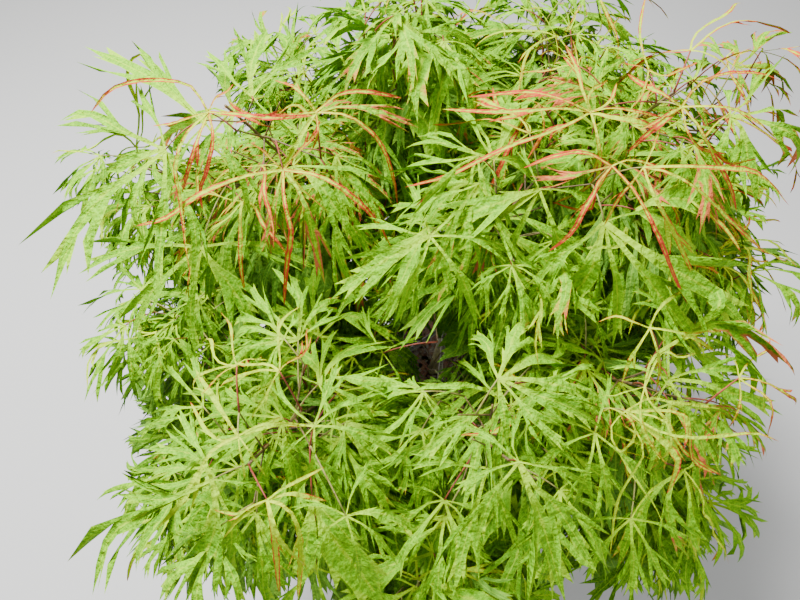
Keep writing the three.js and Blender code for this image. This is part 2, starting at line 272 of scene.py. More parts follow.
LIMB_NAMED = {limb.name: limb for limb in LIMBS}


@dataclass(frozen=True)
class Frame:
    """The trunk's and boughs' lines, by the part's own rule, in mm."""

    seat: float = 0.3
    mix_level: float = 240
    trunk_top: Place = (30, -95, 690)
    trunk_sweep: float = 1.4
    trunk_radii: Span = (8, 4.8)
    flare: float = 7
    flare_depth: float = 16
    bough_rings: int = 4
    bough_out: float = 0.55
    bough_up: float = 0.42
    bough_radii: Span = (4.4, 2.9)
    side_bough_share: float = 0.8
    lead_bend: float = 0.4

    def trunk_at(self, height: float) -> Vec:
        """The trunk's middle at a height."""
        x, y, top = self.trunk_top
        sweep = ((height - self.mix_level) / (top - self.mix_level)) ** self.trunk_sweep
        return np.array((x * sweep, y * sweep, height))

    def trunk_radius(self, height: float) -> float:
        """The trunk's radius at a height."""
        foot, top = self.mix_level, self.trunk_top[2]
        flare = self.flare * math.exp((foot - height) / self.flare_depth)
        return between(self.trunk_radii, (height - foot) / (top - foot)) + flare

    def spring_of(self, limb: Limb) -> Vec:
        """Where a bough springs from what carries it.

        Args:
            limb: The bough's limb.

        Returns:
            The point in mm.
        """
        if limb.on == "trunk":
            return self.trunk_at(between((self.mix_level, self.trunk_top[2]), limb.spring))
        carrier = self.bough_line(LIMB_NAMED[limb.on]).spaced(self.bough_rings)
        along = limb.spring * (self.bough_rings - 1)
        k = int(along)
        return carrier[k] + (carrier[k + 1] - carrier[k]) * (along - k)

    def bough_line(self, limb: Limb) -> Bend:
        """A bough's middle line."""
        start, end = self.spring_of(limb), at(*limb.end)
        pull = start + (end - start) * self.bough_out
        pull[2] = start[2] + (end[2] - start[2]) * self.bough_up
        return Bend(start, pull, end)

    def shoot_line(self, limb: Limb) -> Bend:
        """The middle line of the shoot that grows on from a bough."""
        bough = self.bough_line(limb)
        axis = bough.axis(1)
        start, end = bough.end + axis * self.seat, at(*limb.shoot)
        return Bend(start, start + axis * np.linalg.norm(end - start) * self.lead_bend, end)


FRAME = Frame()


# Leaves, and those that are placed one by one


@dataclass(frozen=True)
class Kind:
    """A kind of leaf by the part's rule: its lobes, their spread, length and fall."""

    young: bool
    lobes: int
    spread: float
    length: Span
    fall: Span


MATURE = Kind(young=False, lobes=7, spread=38, length=(92, 124), fall=(10, 38))
YOUNG = Kind(young=True, lobes=5, spread=46, length=(86, 116), fall=(5, 50))
HANGING = Kind(young=False, lobes=7, spread=31, length=(92, 124), fall=(18, 50))


class Tint(Enum):
    """A leaf's colouring: for mature leaves one colour in painted light, middle light or painted shade; for
    young ones their own.
    """

    # The first three are lit, middle and shaded copies of one leaf colour: painted light and painted shade.
    FRESH = "fresh"
    GREEN = "green"
    SHADE = "shade"
    YOUNG = "young"


class Form(Enum):
    """The forms of a lobe: four of mature leaves, a broad one, and three threads of young ones."""

    TRIDENT = "trident"
    ANTLER = "antler"
    SLIM = "slim"
    RAGGED = "ragged"
    BROAD = "broad"
    THREAD = "thread"
    FORKED = "forked"
    PLAIN = "plain"


MATURE_FORMS = (Form.TRIDENT, Form.ANTLER, Form.SLIM, Form.RAGGED)
BROAD_FORMS = (Form.BROAD,)
YOUNG_FORMS = (Form.THREAD, Form.FORKED, Form.PLAIN)


@dataclass(frozen=True)
class Sight:
    """The view in the photograph, which makes a place of a pixel and a height.

    Attributes:
        eye: Where it is seen from, in mm.
        dip: How far it looks down, in degrees.
        focal: The lens's focal length, in pixels of the picture.
        middle: The picture's middle, in pixels.
    """

    eye: Place = (-75, -630, 1480)
    dip: float = 56.5
    focal: float = 605
    middle: Span = (400, 300)

    def place(self, across: float, down: float, height: float) -> Vec:
        """What is seen at a pixel, at a height in mm."""
        steep, level = math.sin(math.radians(self.dip)), math.cos(math.radians(self.dip))
        x, y = (across - self.middle[0]) / self.focal, (down - self.middle[1]) / self.focal
        depth = (self.eye[2] - height) / (steep + y * level)
        return np.array((self.eye[0] + x * depth, self.eye[1] + depth * (level - y * steep), height))


SIGHT = Sight()


@dataclass(frozen=True)
class Spray:
    """A leaf placed on the face of the crown, to lie as one does in the photograph.

    Attributes:
        seen: Where its lobes meet: pixels across and down the picture, and its height in mm.
        blush: How far it has flushed, from -1 to 1.
        lobes: Its lobes, each as its form, its width as a share of the form's, and the places that it
            passes after the hub: pixels across and down the picture, and mm above the hub.
    """

    seen: Place
    blush: float
    lobes: list[tuple[Form, float, list[Place]]] = field(default_factory=list)

    @property
    def hub(self) -> Vec:
        """Where its lobes meet, in mm."""
        return SIGHT.place(*self.seen)

    def line(self, passed: Iterable[Place], count: int) -> Vec:
        """The middle line of a lobe by the places that it passes, as so many points in mm."""
        height = self.seen[2]
        places = (SIGHT.place(across, down, height + rise) for across, down, rise in passed)
        return smooth_line(np.array([self.hub, *places]), count)


def read_sprays(text: str) -> tuple[Spray, ...]:
    """Reads the placed leaves from rows of text.

    Args:
        text: A row for each leaf, with its blush and where its lobes meet, and after it one for each of its
            lobes, with the lobe's form and width and the places that it passes.

    Returns:
        The placed leaves.
    """
    sprays: list[Spray] = []
    for row in text.strip().splitlines():
        title, numbers = row.split(":")
        word, share = title.split()
        places = [tuple(float(number) for number in place.split()) for place in numbers.split(",")]
        if word == "leaf":
            sprays.append(Spray(places[0], float(share)))
        else:
            sprays[-1].lobes.append((Form(word), float(share), places))
    return tuple(sprays)


# The placed leaves, each chosen on the photograph
SPRAYS = read_sprays("""
leaf -0.7: 165 150 1072
antler 0.9: 125 132 8, 84 112 4, 58 122 -12
slim 0.8: 145 139 4, 110 131 2, 74 133 -6
trident 0.8: 160 128 8, 147 105 8, 136 84 0
broad 0.8: 140 157 0, 120 166 -8, 104 171 -22
antler 0.95: 138 172 2, 102 196 -12, 72 238 -38, 50 300 -70
trident 1: 165 185 -4, 162 225 -30, 154 300 -80
slim 0.9: 180 190 -14, 196 235 -44, 190 290 -84
leaf -0.8: 206 124 1084
antler 0.85: 176 98 6, 140 72 8, 84 46 -6
slim 0.9: 190 108 6, 165 80 4, 138 52 -4
trident 0.9: 218 140 -4, 240 175 -24, 252 222 -60
slim 0.9: 190 140 -4, 172 175 -26, 160 215 -56
leaf 0.5: 208 112 1112
plain 1.1: 190 85 14, 150 80 14, 112 88 6, 90 113 -12
thread 1.5: 216 97 6, 226 92 8, 233 84 8
thread 1.3: 188 118 4, 170 124 -4, 152 126 -14
plain 1.2: 186 134 2, 175 165 -14, 181 205 -44, 189 270 -92
thread 1.1: 197 140 -2, 188 170 -22, 182 192 -46
plain 1: 213 138 -4, 206 172 -26, 199 190 -40, 203 211 -58
forked 1.3: 238 114 10, 270 118 10, 314 115 -2
leaf 0.45: 316 112 1108
forked 1.2: 280 116 12, 244 116 10, 212 112 -4
thread 1.5: 306 98 10, 292 86 12, 274 80 6
plain 1.2: 340 94 16, 370 92 14, 402 98 -2
plain 1.1: 350 116 8, 378 140 -14, 392 172 -42, 398 207 -76
thread 1.1: 318 130 -2, 316 140 -12, 312 150 -26
forked 1.1: 300 138 -2, 288 160 -22, 262 182 -48
trident 0.8: 344 106 10, 380 112 4, 420 128 -24
leaf 0.35: 283 170 1082
plain 1.5: 245 176 10, 196 196 -6, 166 218 -30, 135 226 -52
plain 1.6: 320 176 8, 352 196 -8, 375 220 -36, 392 248 -72
plain 1.4: 284 200 0, 291 232 -22, 286 268 -56, 284 306 -98
thread 1.1: 270 158 8, 262 150 8, 252 144 0
thread 1.1: 300 150 10, 312 138 10, 320 120 4
slim 0.9: 276 195 -8, 270 222 -32, 262 252 -62
trident 0.9: 302 196 -4, 312 232 -34, 325 285 -86
leaf -0.5: 252 96 1092
ragged 1.1: 250 74 8, 256 50 6, 268 28 -4
antler 1: 268 76 8, 290 62 8, 318 46 -2
trident 0.9: 236 84 8, 222 66 4, 206 50 -8
slim 0.8: 264 110 0, 282 124 -14, 300 146 -36
leaf -0.8: 347 68 1080
antler 1: 338 50 8, 338 36 6, 342 20 -6
antler 1: 362 50 8, 378 36 8, 398 18 -4
slim 1: 366 66 4, 382 64 0, 400 70 -12
trident 0.9: 334 82 0, 320 98 -14, 306 122 -38
trident 0.9: 362 84 0, 382 102 -18, 404 132 -50
leaf -0.9: 201 247 992
trident 1: 165 245 6, 122 252 -4, 78 274 -32
trident 1.1: 178 265 0, 150 295 -24, 128 345 -64
ragged 1.1: 216 268 -2, 240 300 -28, 262 350 -72
trident 1: 235 243 6, 275 250 -4, 322 270 -34
slim 1: 196 275 -12, 190 315 -48, 196 360 -90
slim 0.9: 216 228 8, 236 212 4, 262 200 -10
leaf 0.4: 591 112 1112
forked 1.2: 560 108 12, 505 112 10, 442 109 -8
thread 1.2: 570 102 12, 530 92 12, 468 97 -2
plain 1.1: 560 128 6, 505 148 -4, 450 175 -26, 405 187 -44
thread 1.4: 583 92 12, 577 70 12, 565 44 -2
plain 1.8: 588 100 8, 592 90 12, 608 80 10
plain 1.7: 604 106 8, 612 98 10, 617 83 8
plain 1.1: 612 108 10, 640 112 8, 664 118 -2
plain 2.2: 618 118 6, 640 122 2, 668 134 -16
thread 1.1: 597 134 0, 600 160 -20, 592 184 -44, 553 204 -70
thread 1.3: 570 124 2, 545 132 -6, 527 160 -34
leaf 0.5: 682 107 1126
plain 1.1: 698 84 16, 728 73 18, 762 74 8, 788 84 -12
thread 1.2: 706 106 10, 738 110 4, 765 128 -14, 793 154 -38
thread 1.1: 700 128 2, 715 158 -22, 730 185 -46, 737 212 -74
plain 1.9: 668 118 4, 650 132 -8, 628 152 -30
plain 1.9: 672 112 6, 660 120 0, 640 130 -14
thread 1.6: 664 94 10, 646 86 8, 628 74 -4
plain 0.9: 686 128 0, 700 148 -16, 726 154 -30
leaf 0.4: 649 70 1134
plain 0.8: 643 52 10, 640 28 6, 646 -4 -10
plain 1.2: 640 66 6, 632 65 4, 625 63 0
plain 1.2: 664 76 6, 680 70 4, 698 62 -6
plain 1.3: 646 84 2, 640 98 -4, 632 108 -12
leaf 0.4: 612 166 1100
plain 1.4: 585 152 10, 555 156 6, 523 168 -10
plain 1.2: 634 190 4, 658 235 -20, 676 280 -60, 688 305 -90
thread 1.2: 596 186 0, 588 210 -18, 552 202 -30
thread 1.2: 590 200 -6, 572 232 -34, 548 252 -60
plain 1.1: 628 160 8, 650 164 4, 676 176 -10
trident 0.8: 586 172 4, 560 178 -4, 530 176 -22
leaf 0.25: 644 167 1110
thread 1.4: 680 166 10, 725 168 4, 760 174 -10, 790 206 -44
plain 1.2: 670 172 6, 702 192 -10, 728 218 -36, 767 254 -80
forked 1.2: 654 196 -2, 672 228 -30, 697 282 -86
thread 1.1: 634 180 -2, 618 200 -20, 604 226 -48
plain 1.2: 652 150 8, 656 138 8, 660 124 2
leaf -0.7: 539 189 1066
ragged 1.1: 505 200 6, 468 216 -6, 425 233 -34
antler 1: 510 210 0, 470 232 -24, 440 262 -60, 402 292 -96
trident 1: 548 212 -4, 560 245 -34, 573 292 -84
slim 1: 528 212 -6, 512 245 -36, 505 290 -82
trident 0.9: 560 190 4, 582 196 -4, 606 212 -28
slim 0.8: 532 172 8, 526 160 6, 520 146 -2
leaf -0.6: 604 222 1062
antler 1.15: 636 246 2, 672 268 -18, 712 292 -46, 756 336 -92
trident 1.1: 626 252 -4, 656 290 -38, 704 352 -100
ragged 1.25: 596 252 -8, 582 285 -44, 540 315 -86
slim 1: 610 255 -10, 618 295 -50, 612 350 -104
trident 1: 584 240 -2, 552 262 -30, 526 300 -72
slim 0.9: 628 214 6, 648 214 2, 672 222 -14
leaf -1: 636 210 1052
broad 1.1: 660 200 6, 688 200 0, 720 214 -22
broad 0.9: 654 222 -2, 676 236 -18, 700 262 -50
leaf -0.1: 238 436 982
forked 1.5: 226 418 8, 212 396 8, 195 369 -2
forked 1.4: 214 448 4, 200 470 -14, 183 500 -38, 155 531 -66
thread 1.2: 260 425 10, 280 424 8, 305 427 -2
plain 1.4: 240 452 -4, 243 465 -14, 245 480 -28
plain 1.4: 248 450 -2, 256 462 -12, 266 477 -28
thread 1.3: 222 441 2, 206 430 0, 190 402 -10
leaf -0.35: 314 426 978
antler 1: 320 410 8, 328 388 6, 340 358 -8
trident 1: 335 427 8, 362 434 2, 402 456 -30
slim 1: 330 412 8, 354 400 4, 382 393 -12
plain 1.4: 285 424 8, 262 428 4, 240 436 -4
slim 1: 314 448 -6, 310 470 -28, 292 496 -60
slim 0.9: 302 438 0, 292 446 -8, 276 462 -26
slim 0.9: 296 412 8, 282 395 4, 274 366 -8
leaf -0.85: 212 480 958
antler 1: 200 462 8, 184 452 6, 144 449 -12
trident 0.9: 205 460 8, 188 430 4, 178 406 -8
antler 1: 186 492 2, 160 500 -8, 114 494 -34
trident 0.85: 180 496 0, 140 516 -26, 108 540 -52, 92 596 -98
ragged 1: 216 505 -8, 210 545 -44, 184 605 -100
trident 1: 222 502 -6, 232 530 -34, 226 580 -80
trident 0.9: 236 482 4, 252 486 -2, 268 494 -18
leaf 0.1: 267 500 972
plain 1.6: 272 518 0, 280 540 -16, 305 566 -46
thread 1.5: 272 526 -8, 276 556 -36, 279 592 -70
thread 1.3: 252 506 2, 236 514 -6, 214 510 -20
plain 1.3: 250 512 -2, 236 522 -12, 223 539 -30
plain 1.8: 288 494 6, 304 496 0, 326 501 -16
plain 1.4: 280 490 8, 296 482 6, 325 467 -4
forked 1.3: 288 508 0, 300 540 -28, 298 600 -90
leaf -1: 312 497 925
broad 1.3: 326 514 2, 342 530 -8, 358 550 -28
broad 1.2: 334 540 -20, 356 566 -46, 384 606 -90
broad 1: 310 520 -6, 306 548 -32, 300 590 -74
leaf -0.9: 519 462 972
trident 1.05: 506 478 0, 492 496 -16, 474 546 -62
antler 1.15: 526 484 -2, 540 516 -32, 566 604 -110
antler 1.05: 534 486 -4, 560 512 -32, 598 574 -86
trident 0.9: 540 466 4, 560 470 -4, 590 486 -30
slim 0.9: 502 448 8, 488 436 6, 462 424 -8
slim 0.8: 512 444 8, 516 426 4, 524 402 -8
slim 0.9: 496 468 2, 478 476 -6, 452 492 -28
leaf -1: 487 468 940
trident 0.9: 494 485 -2, 500 500 -14, 520 552 -62
antler 1: 478 500 -12, 466 540 -44, 452 600 -92
slim 0.9: 482 482 -4, 478 490 -14, 476 512 -32
trident 0.9: 468 466 4, 440 462 -2, 404 466 -24
leaf -0.9: 669 379 968
antler 1.05: 692 380 6, 722 390 -8, 754 400 -28, 784 416 -52
antler 0.95: 690 372 8, 722 368 2, 757 372 -16
trident 0.9: 668 355 8, 668 330 4, 664 300 -8
trident 1: 680 398 -2, 696 424 -24, 712 460 -62
slim 0.9: 658 398 -4, 650 420 -22, 636 450 -50
slim 0.9: 650 372 4, 632 366 0, 606 368 -14
leaf 0: 645 387 988
plain 0.9: 652 360 8, 676 342 8, 704 332 -4
plain 0.9: 662 352 8, 680 358 4, 697 353 -6
plain 0.9: 625 392 4, 614 396 0, 604 395 -6
thread 0.9: 650 404 0, 668 420 -10, 683 450 -30, 722 476 -62
plain 0.9: 640 410 -2, 646 436 -14, 668 466 -38
leaf 0: 626 411 980
plain 0.7: 612 424 2, 612 440 -4, 618 452 -10, 630 446 -8, 636 430 -2, 630 418 4, 612 408 6, 602 412 2
plain 0.8: 640 440 -6, 644 455 -16, 618 500 -44, 610 556 -88
plain 0.8: 650 398 4, 670 402 2, 690 404 -4, 722 409 -16
plain 0.8: 660 432 -2, 700 438 -6, 754 433 -12, 780 442 -24
plain 0.8: 664 420 2, 672 440 -6, 664 460 -20, 654 452 -22, 646 430 -14, 652 416 -6
thread 1: 680 412 2, 690 430 -8, 692 460 -30, 716 474 -46
plain 1.8: 672 450 -14, 676 470 -28, 667 494 -48
leaf -0.1: 684 470 860
plain 0.9: 696 484 2, 704 500 -8, 702 512 -16, 712 522 -26, 714 536 -38, 724 548 -50, 729 564 -66
trident 0.9: 700 462 6, 716 452 4, 700 440 -2
antler 1: 668 492 0, 672 530 -34, 690 560 -66
trident 1: 660 486 2, 636 520 -24, 616 572 -76
slim 1: 690 500 -8, 690 530 -34, 704 562 -66
leaf -0.6: 595 433 968
trident 1: 592 455 -4, 584 480 -26, 574 512 -66
antler 1: 600 455 -2, 606 482 -24, 612 520 -66
trident 0.9: 612 446 -2, 632 466 -22, 650 500 -60
slim 0.9: 575 440 2, 552 452 -8, 528 474 -34
trident 0.9: 576 424 6, 548 418 2, 515 420 -16
slim 0.8: 600 415 8, 606 396 6, 612 372 -6
leaf -0.6: 383 353 915
slim 0.8: 372 352 2, 356 350 0, 338 352 -12
slim 0.8: 392 347 4, 404 342 4, 424 336 -4
slim 0.8: 380 366 -2, 374 384 -14, 366 408 -40
slim 0.8: 390 363 -2, 399 378 -14, 404 400 -36
trident 0.8: 377 344 6, 368 328 6, 362 305 -4
leaf -0.8: 346 516 935
ragged 0.9: 366 512 4, 390 516 -6, 418 530 -34
trident 0.9: 362 524 0, 380 540 -18, 398 566 -52
slim 0.9: 352 536 -4, 358 560 -28, 360 588 -62
trident 0.9: 332 524 -2, 318 546 -26, 306 580 -66
slim 0.8: 330 508 4, 312 504 0, 290 508 -18
slim 0.8: 350 498 6, 358 480 4, 372 458 -8
leaf -0.7: 631 519 850
trident 1: 642 536 -2, 652 556 -22, 668 590 -60
antler 1: 632 540 -4, 634 564 -28, 630 604 -70
trident 1: 616 532 0, 600 552 -20, 584 584 -58
slim 0.9: 612 518 4, 592 520 -2, 566 530 -22
slim 0.9: 650 522 4, 670 528 -6, 692 544 -32
plain 1: 640 504 8, 652 490 8, 672 476 0
leaf 0.1: 650 328 1010
plain 1.2: 634 322 8, 616 316 4, 598 322 -12
thread 1.2: 640 344 -2, 630 360 -20, 622 384 -52
thread 1.1: 656 346 -2, 660 366 -22, 656 394 -56
forked 1.2: 668 330 6, 690 336 -4, 716 352 -32
plain 1.2: 656 314 10, 668 300 10, 686 290 -2
leaf -0.7: 316 568 860
trident 1: 320 586 -2, 326 608 -26, 332 640 -66
antler 1: 302 582 0, 286 600 -22, 270 630 -62
slim 0.9: 298 566 4, 276 568 -2, 252 580 -24
slim 0.9: 332 574 2, 350 584 -12, 370 606 -44
slim 0.8: 322 552 8, 330 536 6, 342 516 -4
leaf -0.9: 430 236 1056
ragged 1: 408 248 2, 372 268 -20, 330 300 -58
trident 1: 424 256 -4, 408 290 -34, 392 330 -78
trident 1: 446 256 -4, 466 286 -32, 478 330 -80
trident 0.9: 454 236 4, 484 240 -4, 514 256 -30
slim 0.9: 424 216 8, 416 196 4, 404 172 -10
slim 0.9: 448 220 8, 466 200 6, 488 182 -4
slim 0.9: 408 232 6, 384 226 0, 352 226 -18
""")


# Growth of the masses: the part's rule, then finer twigs


@dataclass(frozen=True)
class Rule:
    """The numbers of the growth rule, as in the part's source, and those of its finer twigs."""

    seed: int = 7919
    internodes: int = 4
    side_angle: float = 52
    side_length: Span = (80, 125)
    side_internodes: int = 2
    side_sag: float = 0.16
    side_shortening: float = 0.35
    stalk_angle: float = 58
    stalk_length: Span = (28, 50)
    stalk_rise: float = 0.25
    flatten: float = 0.65
    nod: float = 0.1
    upright: float = 1.6
    outward: float = 0.3
    outer_share: float = 0.55
    outer_curve: float = 1.5
    lead_radii: Span = (2.7, 1.3)
    side_radii: Span = (1.5, 1.0)
    spur_radii: Span = (1.0, 0.7)
    spur_angle: float = 48
    spur_length: Span = (34, 72)
    spur_sag: float = 0.12
    spur_leaf_share: float = 0.94
    spur_hang: float = 0.7
    spur_blush: float = 0.5
    bough_nodes: int = 7
    leafy_nodes: int = 5

    def leafy_bough(self, limb: Limb) -> Vec:
        """The nodes along the outer stretch of a bough, which bears spurs."""
        return FRAME.bough_line(limb).spaced(self.bough_nodes + 1)[-self.leafy_nodes - 1 :]


RULE = Rule()


@dataclass
class Leaf:
    """One leaf: where its stalk leaves the twig, how its blade lies, and its colouring."""

    kind: Kind
    node: Vec
    base: Vec
    forward: Vec
    normal: Vec
    length: float = 0.0
    falls: list[float] = field(default_factory=list)
    tint: Tint = Tint.GREEN
    blush: float = -1.0
    broad: bool = False
    spray: Spray | None = None

    @property
    def side(self) -> Vec:
        """The direction across the blade."""
        return np.cross(self.normal, self.forward)

    @property
    def forms(self) -> tuple[Form, ...]:
        """The forms that its lobes may have."""
        if self.kind.young:
            return YOUNG_FORMS
        return BROAD_FORMS if self.broad else MATURE_FORMS

    def lobe_angle(self, k: int) -> float:
        """How far lobe k points round from the blade's middle line, in radians."""
        return math.radians(self.kind.spread) * (k - (self.kind.lobes - 1) / 2)

    def lobe_reach(self, k: int) -> float:
        """The length of lobe k."""
        last = (self.kind.lobes - 1) / 2
        return self.length * (1 - (1 - RULE.outer_share) * abs(k / last - 1) ** RULE.outer_curve)

    def lobe_heading(self, k: int) -> Vec:
        """The direction of lobe k in the blade's plane."""
        angle = self.lobe_angle(k)
        return self.forward * math.cos(angle) + self.side * math.sin(angle)

    def lobe_tips(self, size: float) -> Vec:
        """The tips of the lobes at a share of the full size."""
        tips = []
        for k, fall in enumerate(self.falls):
            heading = self.lobe_heading(k) * math.cos(fall) - UP * math.sin(fall)
            tips.append(self.base + heading * self.lobe_reach(k) * size)
        return np.array(tips)

    def spots(self, size: float, shares: Sequence[float]) -> Vec:
        """Points at some shares of the way from the blade's foot to the tips of its lobes."""
        tips = self.lobe_tips(size)
        return np.vstack([self.base + (tips - self.base) * share for share in shares])


@dataclass
class Mass:
    """The twigs and leaves that grow on from one bough."""

    limb: Limb
    index: int
    twigs: list[tuple[Vec, Span]] = field(default_factory=list)
    leaves: list[Leaf] = field(default_factory=list)

    def stream(self, offset: int = 0) -> Stream:
        """A stream of its own, the part's or one beside it."""
        return Stream(RULE.seed * (self.index + 1) + offset)

    def grow(self) -> None:
        """Grows the shoots and leaves of the part's rule, and then the finer twigs."""
        draw = self.stream()
        lead = FRAME.shoot_line(self.limb).spaced(RULE.internodes + 1)
        axes = directions(lead)
        first = draw() * math.pi
        self.twigs.append((lead, RULE.lead_radii))
        sides = []
        for k in range(1, RULE.internodes):
            angle = first + k * math.pi / 2
            turn = around(axes[k], angle)
            side = self.grow_side(lead[k], axes[k], turn, k / RULE.internodes, draw)
            sides.append((side, angle))
            self.add_pair(side, RULE.side_internodes, angle, YOUNG, draw)
            self.add_pair(side, 1, angle + math.pi / 2, MATURE, draw)
            self.add_leaf(lead[k], axes[k], -turn, MATURE, draw)
        self.add_pair(lead, RULE.internodes, first, YOUNG, draw)
        self.twigs += [(side, RULE.side_radii) for side, _ in sides]
        for line, angle in ((lead, first), *sides, (RULE.leafy_bough(self.limb), first)):
            self.grow_spurs(line, angle, draw)

    def grow_side(self, node: Vec, axis: Vec, turn: Vec, share: float, draw: Stream) -> Vec:
        """A side shoot's line, nodding a little at each internode.

        Args:
            node: Where it springs.
            axis: Which way its carrier grows there.
            turn: The direction that it leans towards.
            share: How far up its carrier it springs, which shortens it.
            draw: The mass's stream.

        Returns:
            The points of the line.
        """
        points = [node]
        heading = leaving(axis, turn, RULE.side_angle)
        length = between(RULE.side_length, draw()) * (1 - RULE.side_shortening * share)
        for _ in range(RULE.side_internodes):
            heading = unit(heading - UP * RULE.side_sag * draw())
            points.append(points[-1] + heading * length / RULE.side_internodes)
        return np.array(points)

    def add_pair(self, line: Vec, k: int, angle: float, kind: Kind, draw: Stream) -> None:
        """Adds the two leaves that face each other at node k of a line."""
        axis = directions(line)[k]
        turn = around(axis, angle)
        for way in (turn, -turn):
            self.add_leaf(line[k], axis, way, kind, draw)

    def add_leaf(self, node: Vec, axis: Vec, turn: Vec, kind: Kind, draw: Stream) -> Leaf:
        """Adds one leaf at a node, leaning out along a turn.

        Args:
            node: Where its stalk springs.
            axis: Which way its twig grows there.
            turn: The direction that it leans towards.
            kind: What kind of leaf it is.
            draw: The mass's stream.

        Returns:
            The leaf.
        """
        heading = unit(leaving(axis, turn, RULE.stalk_angle) + UP * RULE.stalk_rise)
        base = node + heading * between(RULE.stalk_length, draw())
        forward = unit(heading + UP * (-RULE.flatten * heading[2] - RULE.nod))
        tilt = np.array((draw() - 0.5, draw() - 0.5, RULE.upright)) + turn * RULE.outward
        normal = unit(tilt - forward * tilt.dot(forward))
        length = between(kind.length, draw())
        falls = [math.radians(between(kind.fall, draw())) for _ in range(kind.lobes)]
        leaf = Leaf(kind, node, base, forward, normal, length, falls)
        self.leaves.append(leaf)
        return leaf

    def grow_spurs(self, line: Vec, angle: float, draw: Stream) -> None:
        """Grows pairs of short leafy twigs from the middle of each internode of a line.

        Args:
            line: The line's nodes.
            angle: How far round the line a pair at its first node would stand.
            draw: The mass's stream.
        """
        for k in range(len(line) - 1):
            node = (line[k] + line[k + 1]) / 2
            axis = unit(line[k + 1] - line[k])
            turn = around(axis, angle + (k + 0.5) * math.pi / 2)
            for way in (turn, -turn):
                heading = unit(leaving(axis, way, RULE.spur_angle) - UP * RULE.spur_sag * draw())
                length = between(RULE.spur_length, draw())
                spur = np.array([node, node + heading * length / 2, node + heading * length])
                self.twigs.append((spur, RULE.spur_radii))
                tip = YOUNG if draw() < self.limb.blush * RULE.spur_blush else HANGING
                across = around(heading, draw() * math.pi)
                for facing in (across, -across):
                    self.hang(self.add_leaf(spur[2], heading, facing, tip, draw))
                for facing in (way, -way):
                    self.hang(self.add_leaf(spur[1], heading, facing, HANGING, draw))

    def hang(self, leaf: Leaf) -> None:
        """Turns a spur's leaf out from the crown, as it hangs on the plant."""
        outward = unit(leaf.base * (1, 1, 0))
        leaf.forward = unit(leaf.forward + outward * RULE.spur_hang)
        leaf.normal = unit(leaf.normal - leaf.forward * leaf.normal.dot(leaf.forward))
        leaf.length *= RULE.spur_leaf_share


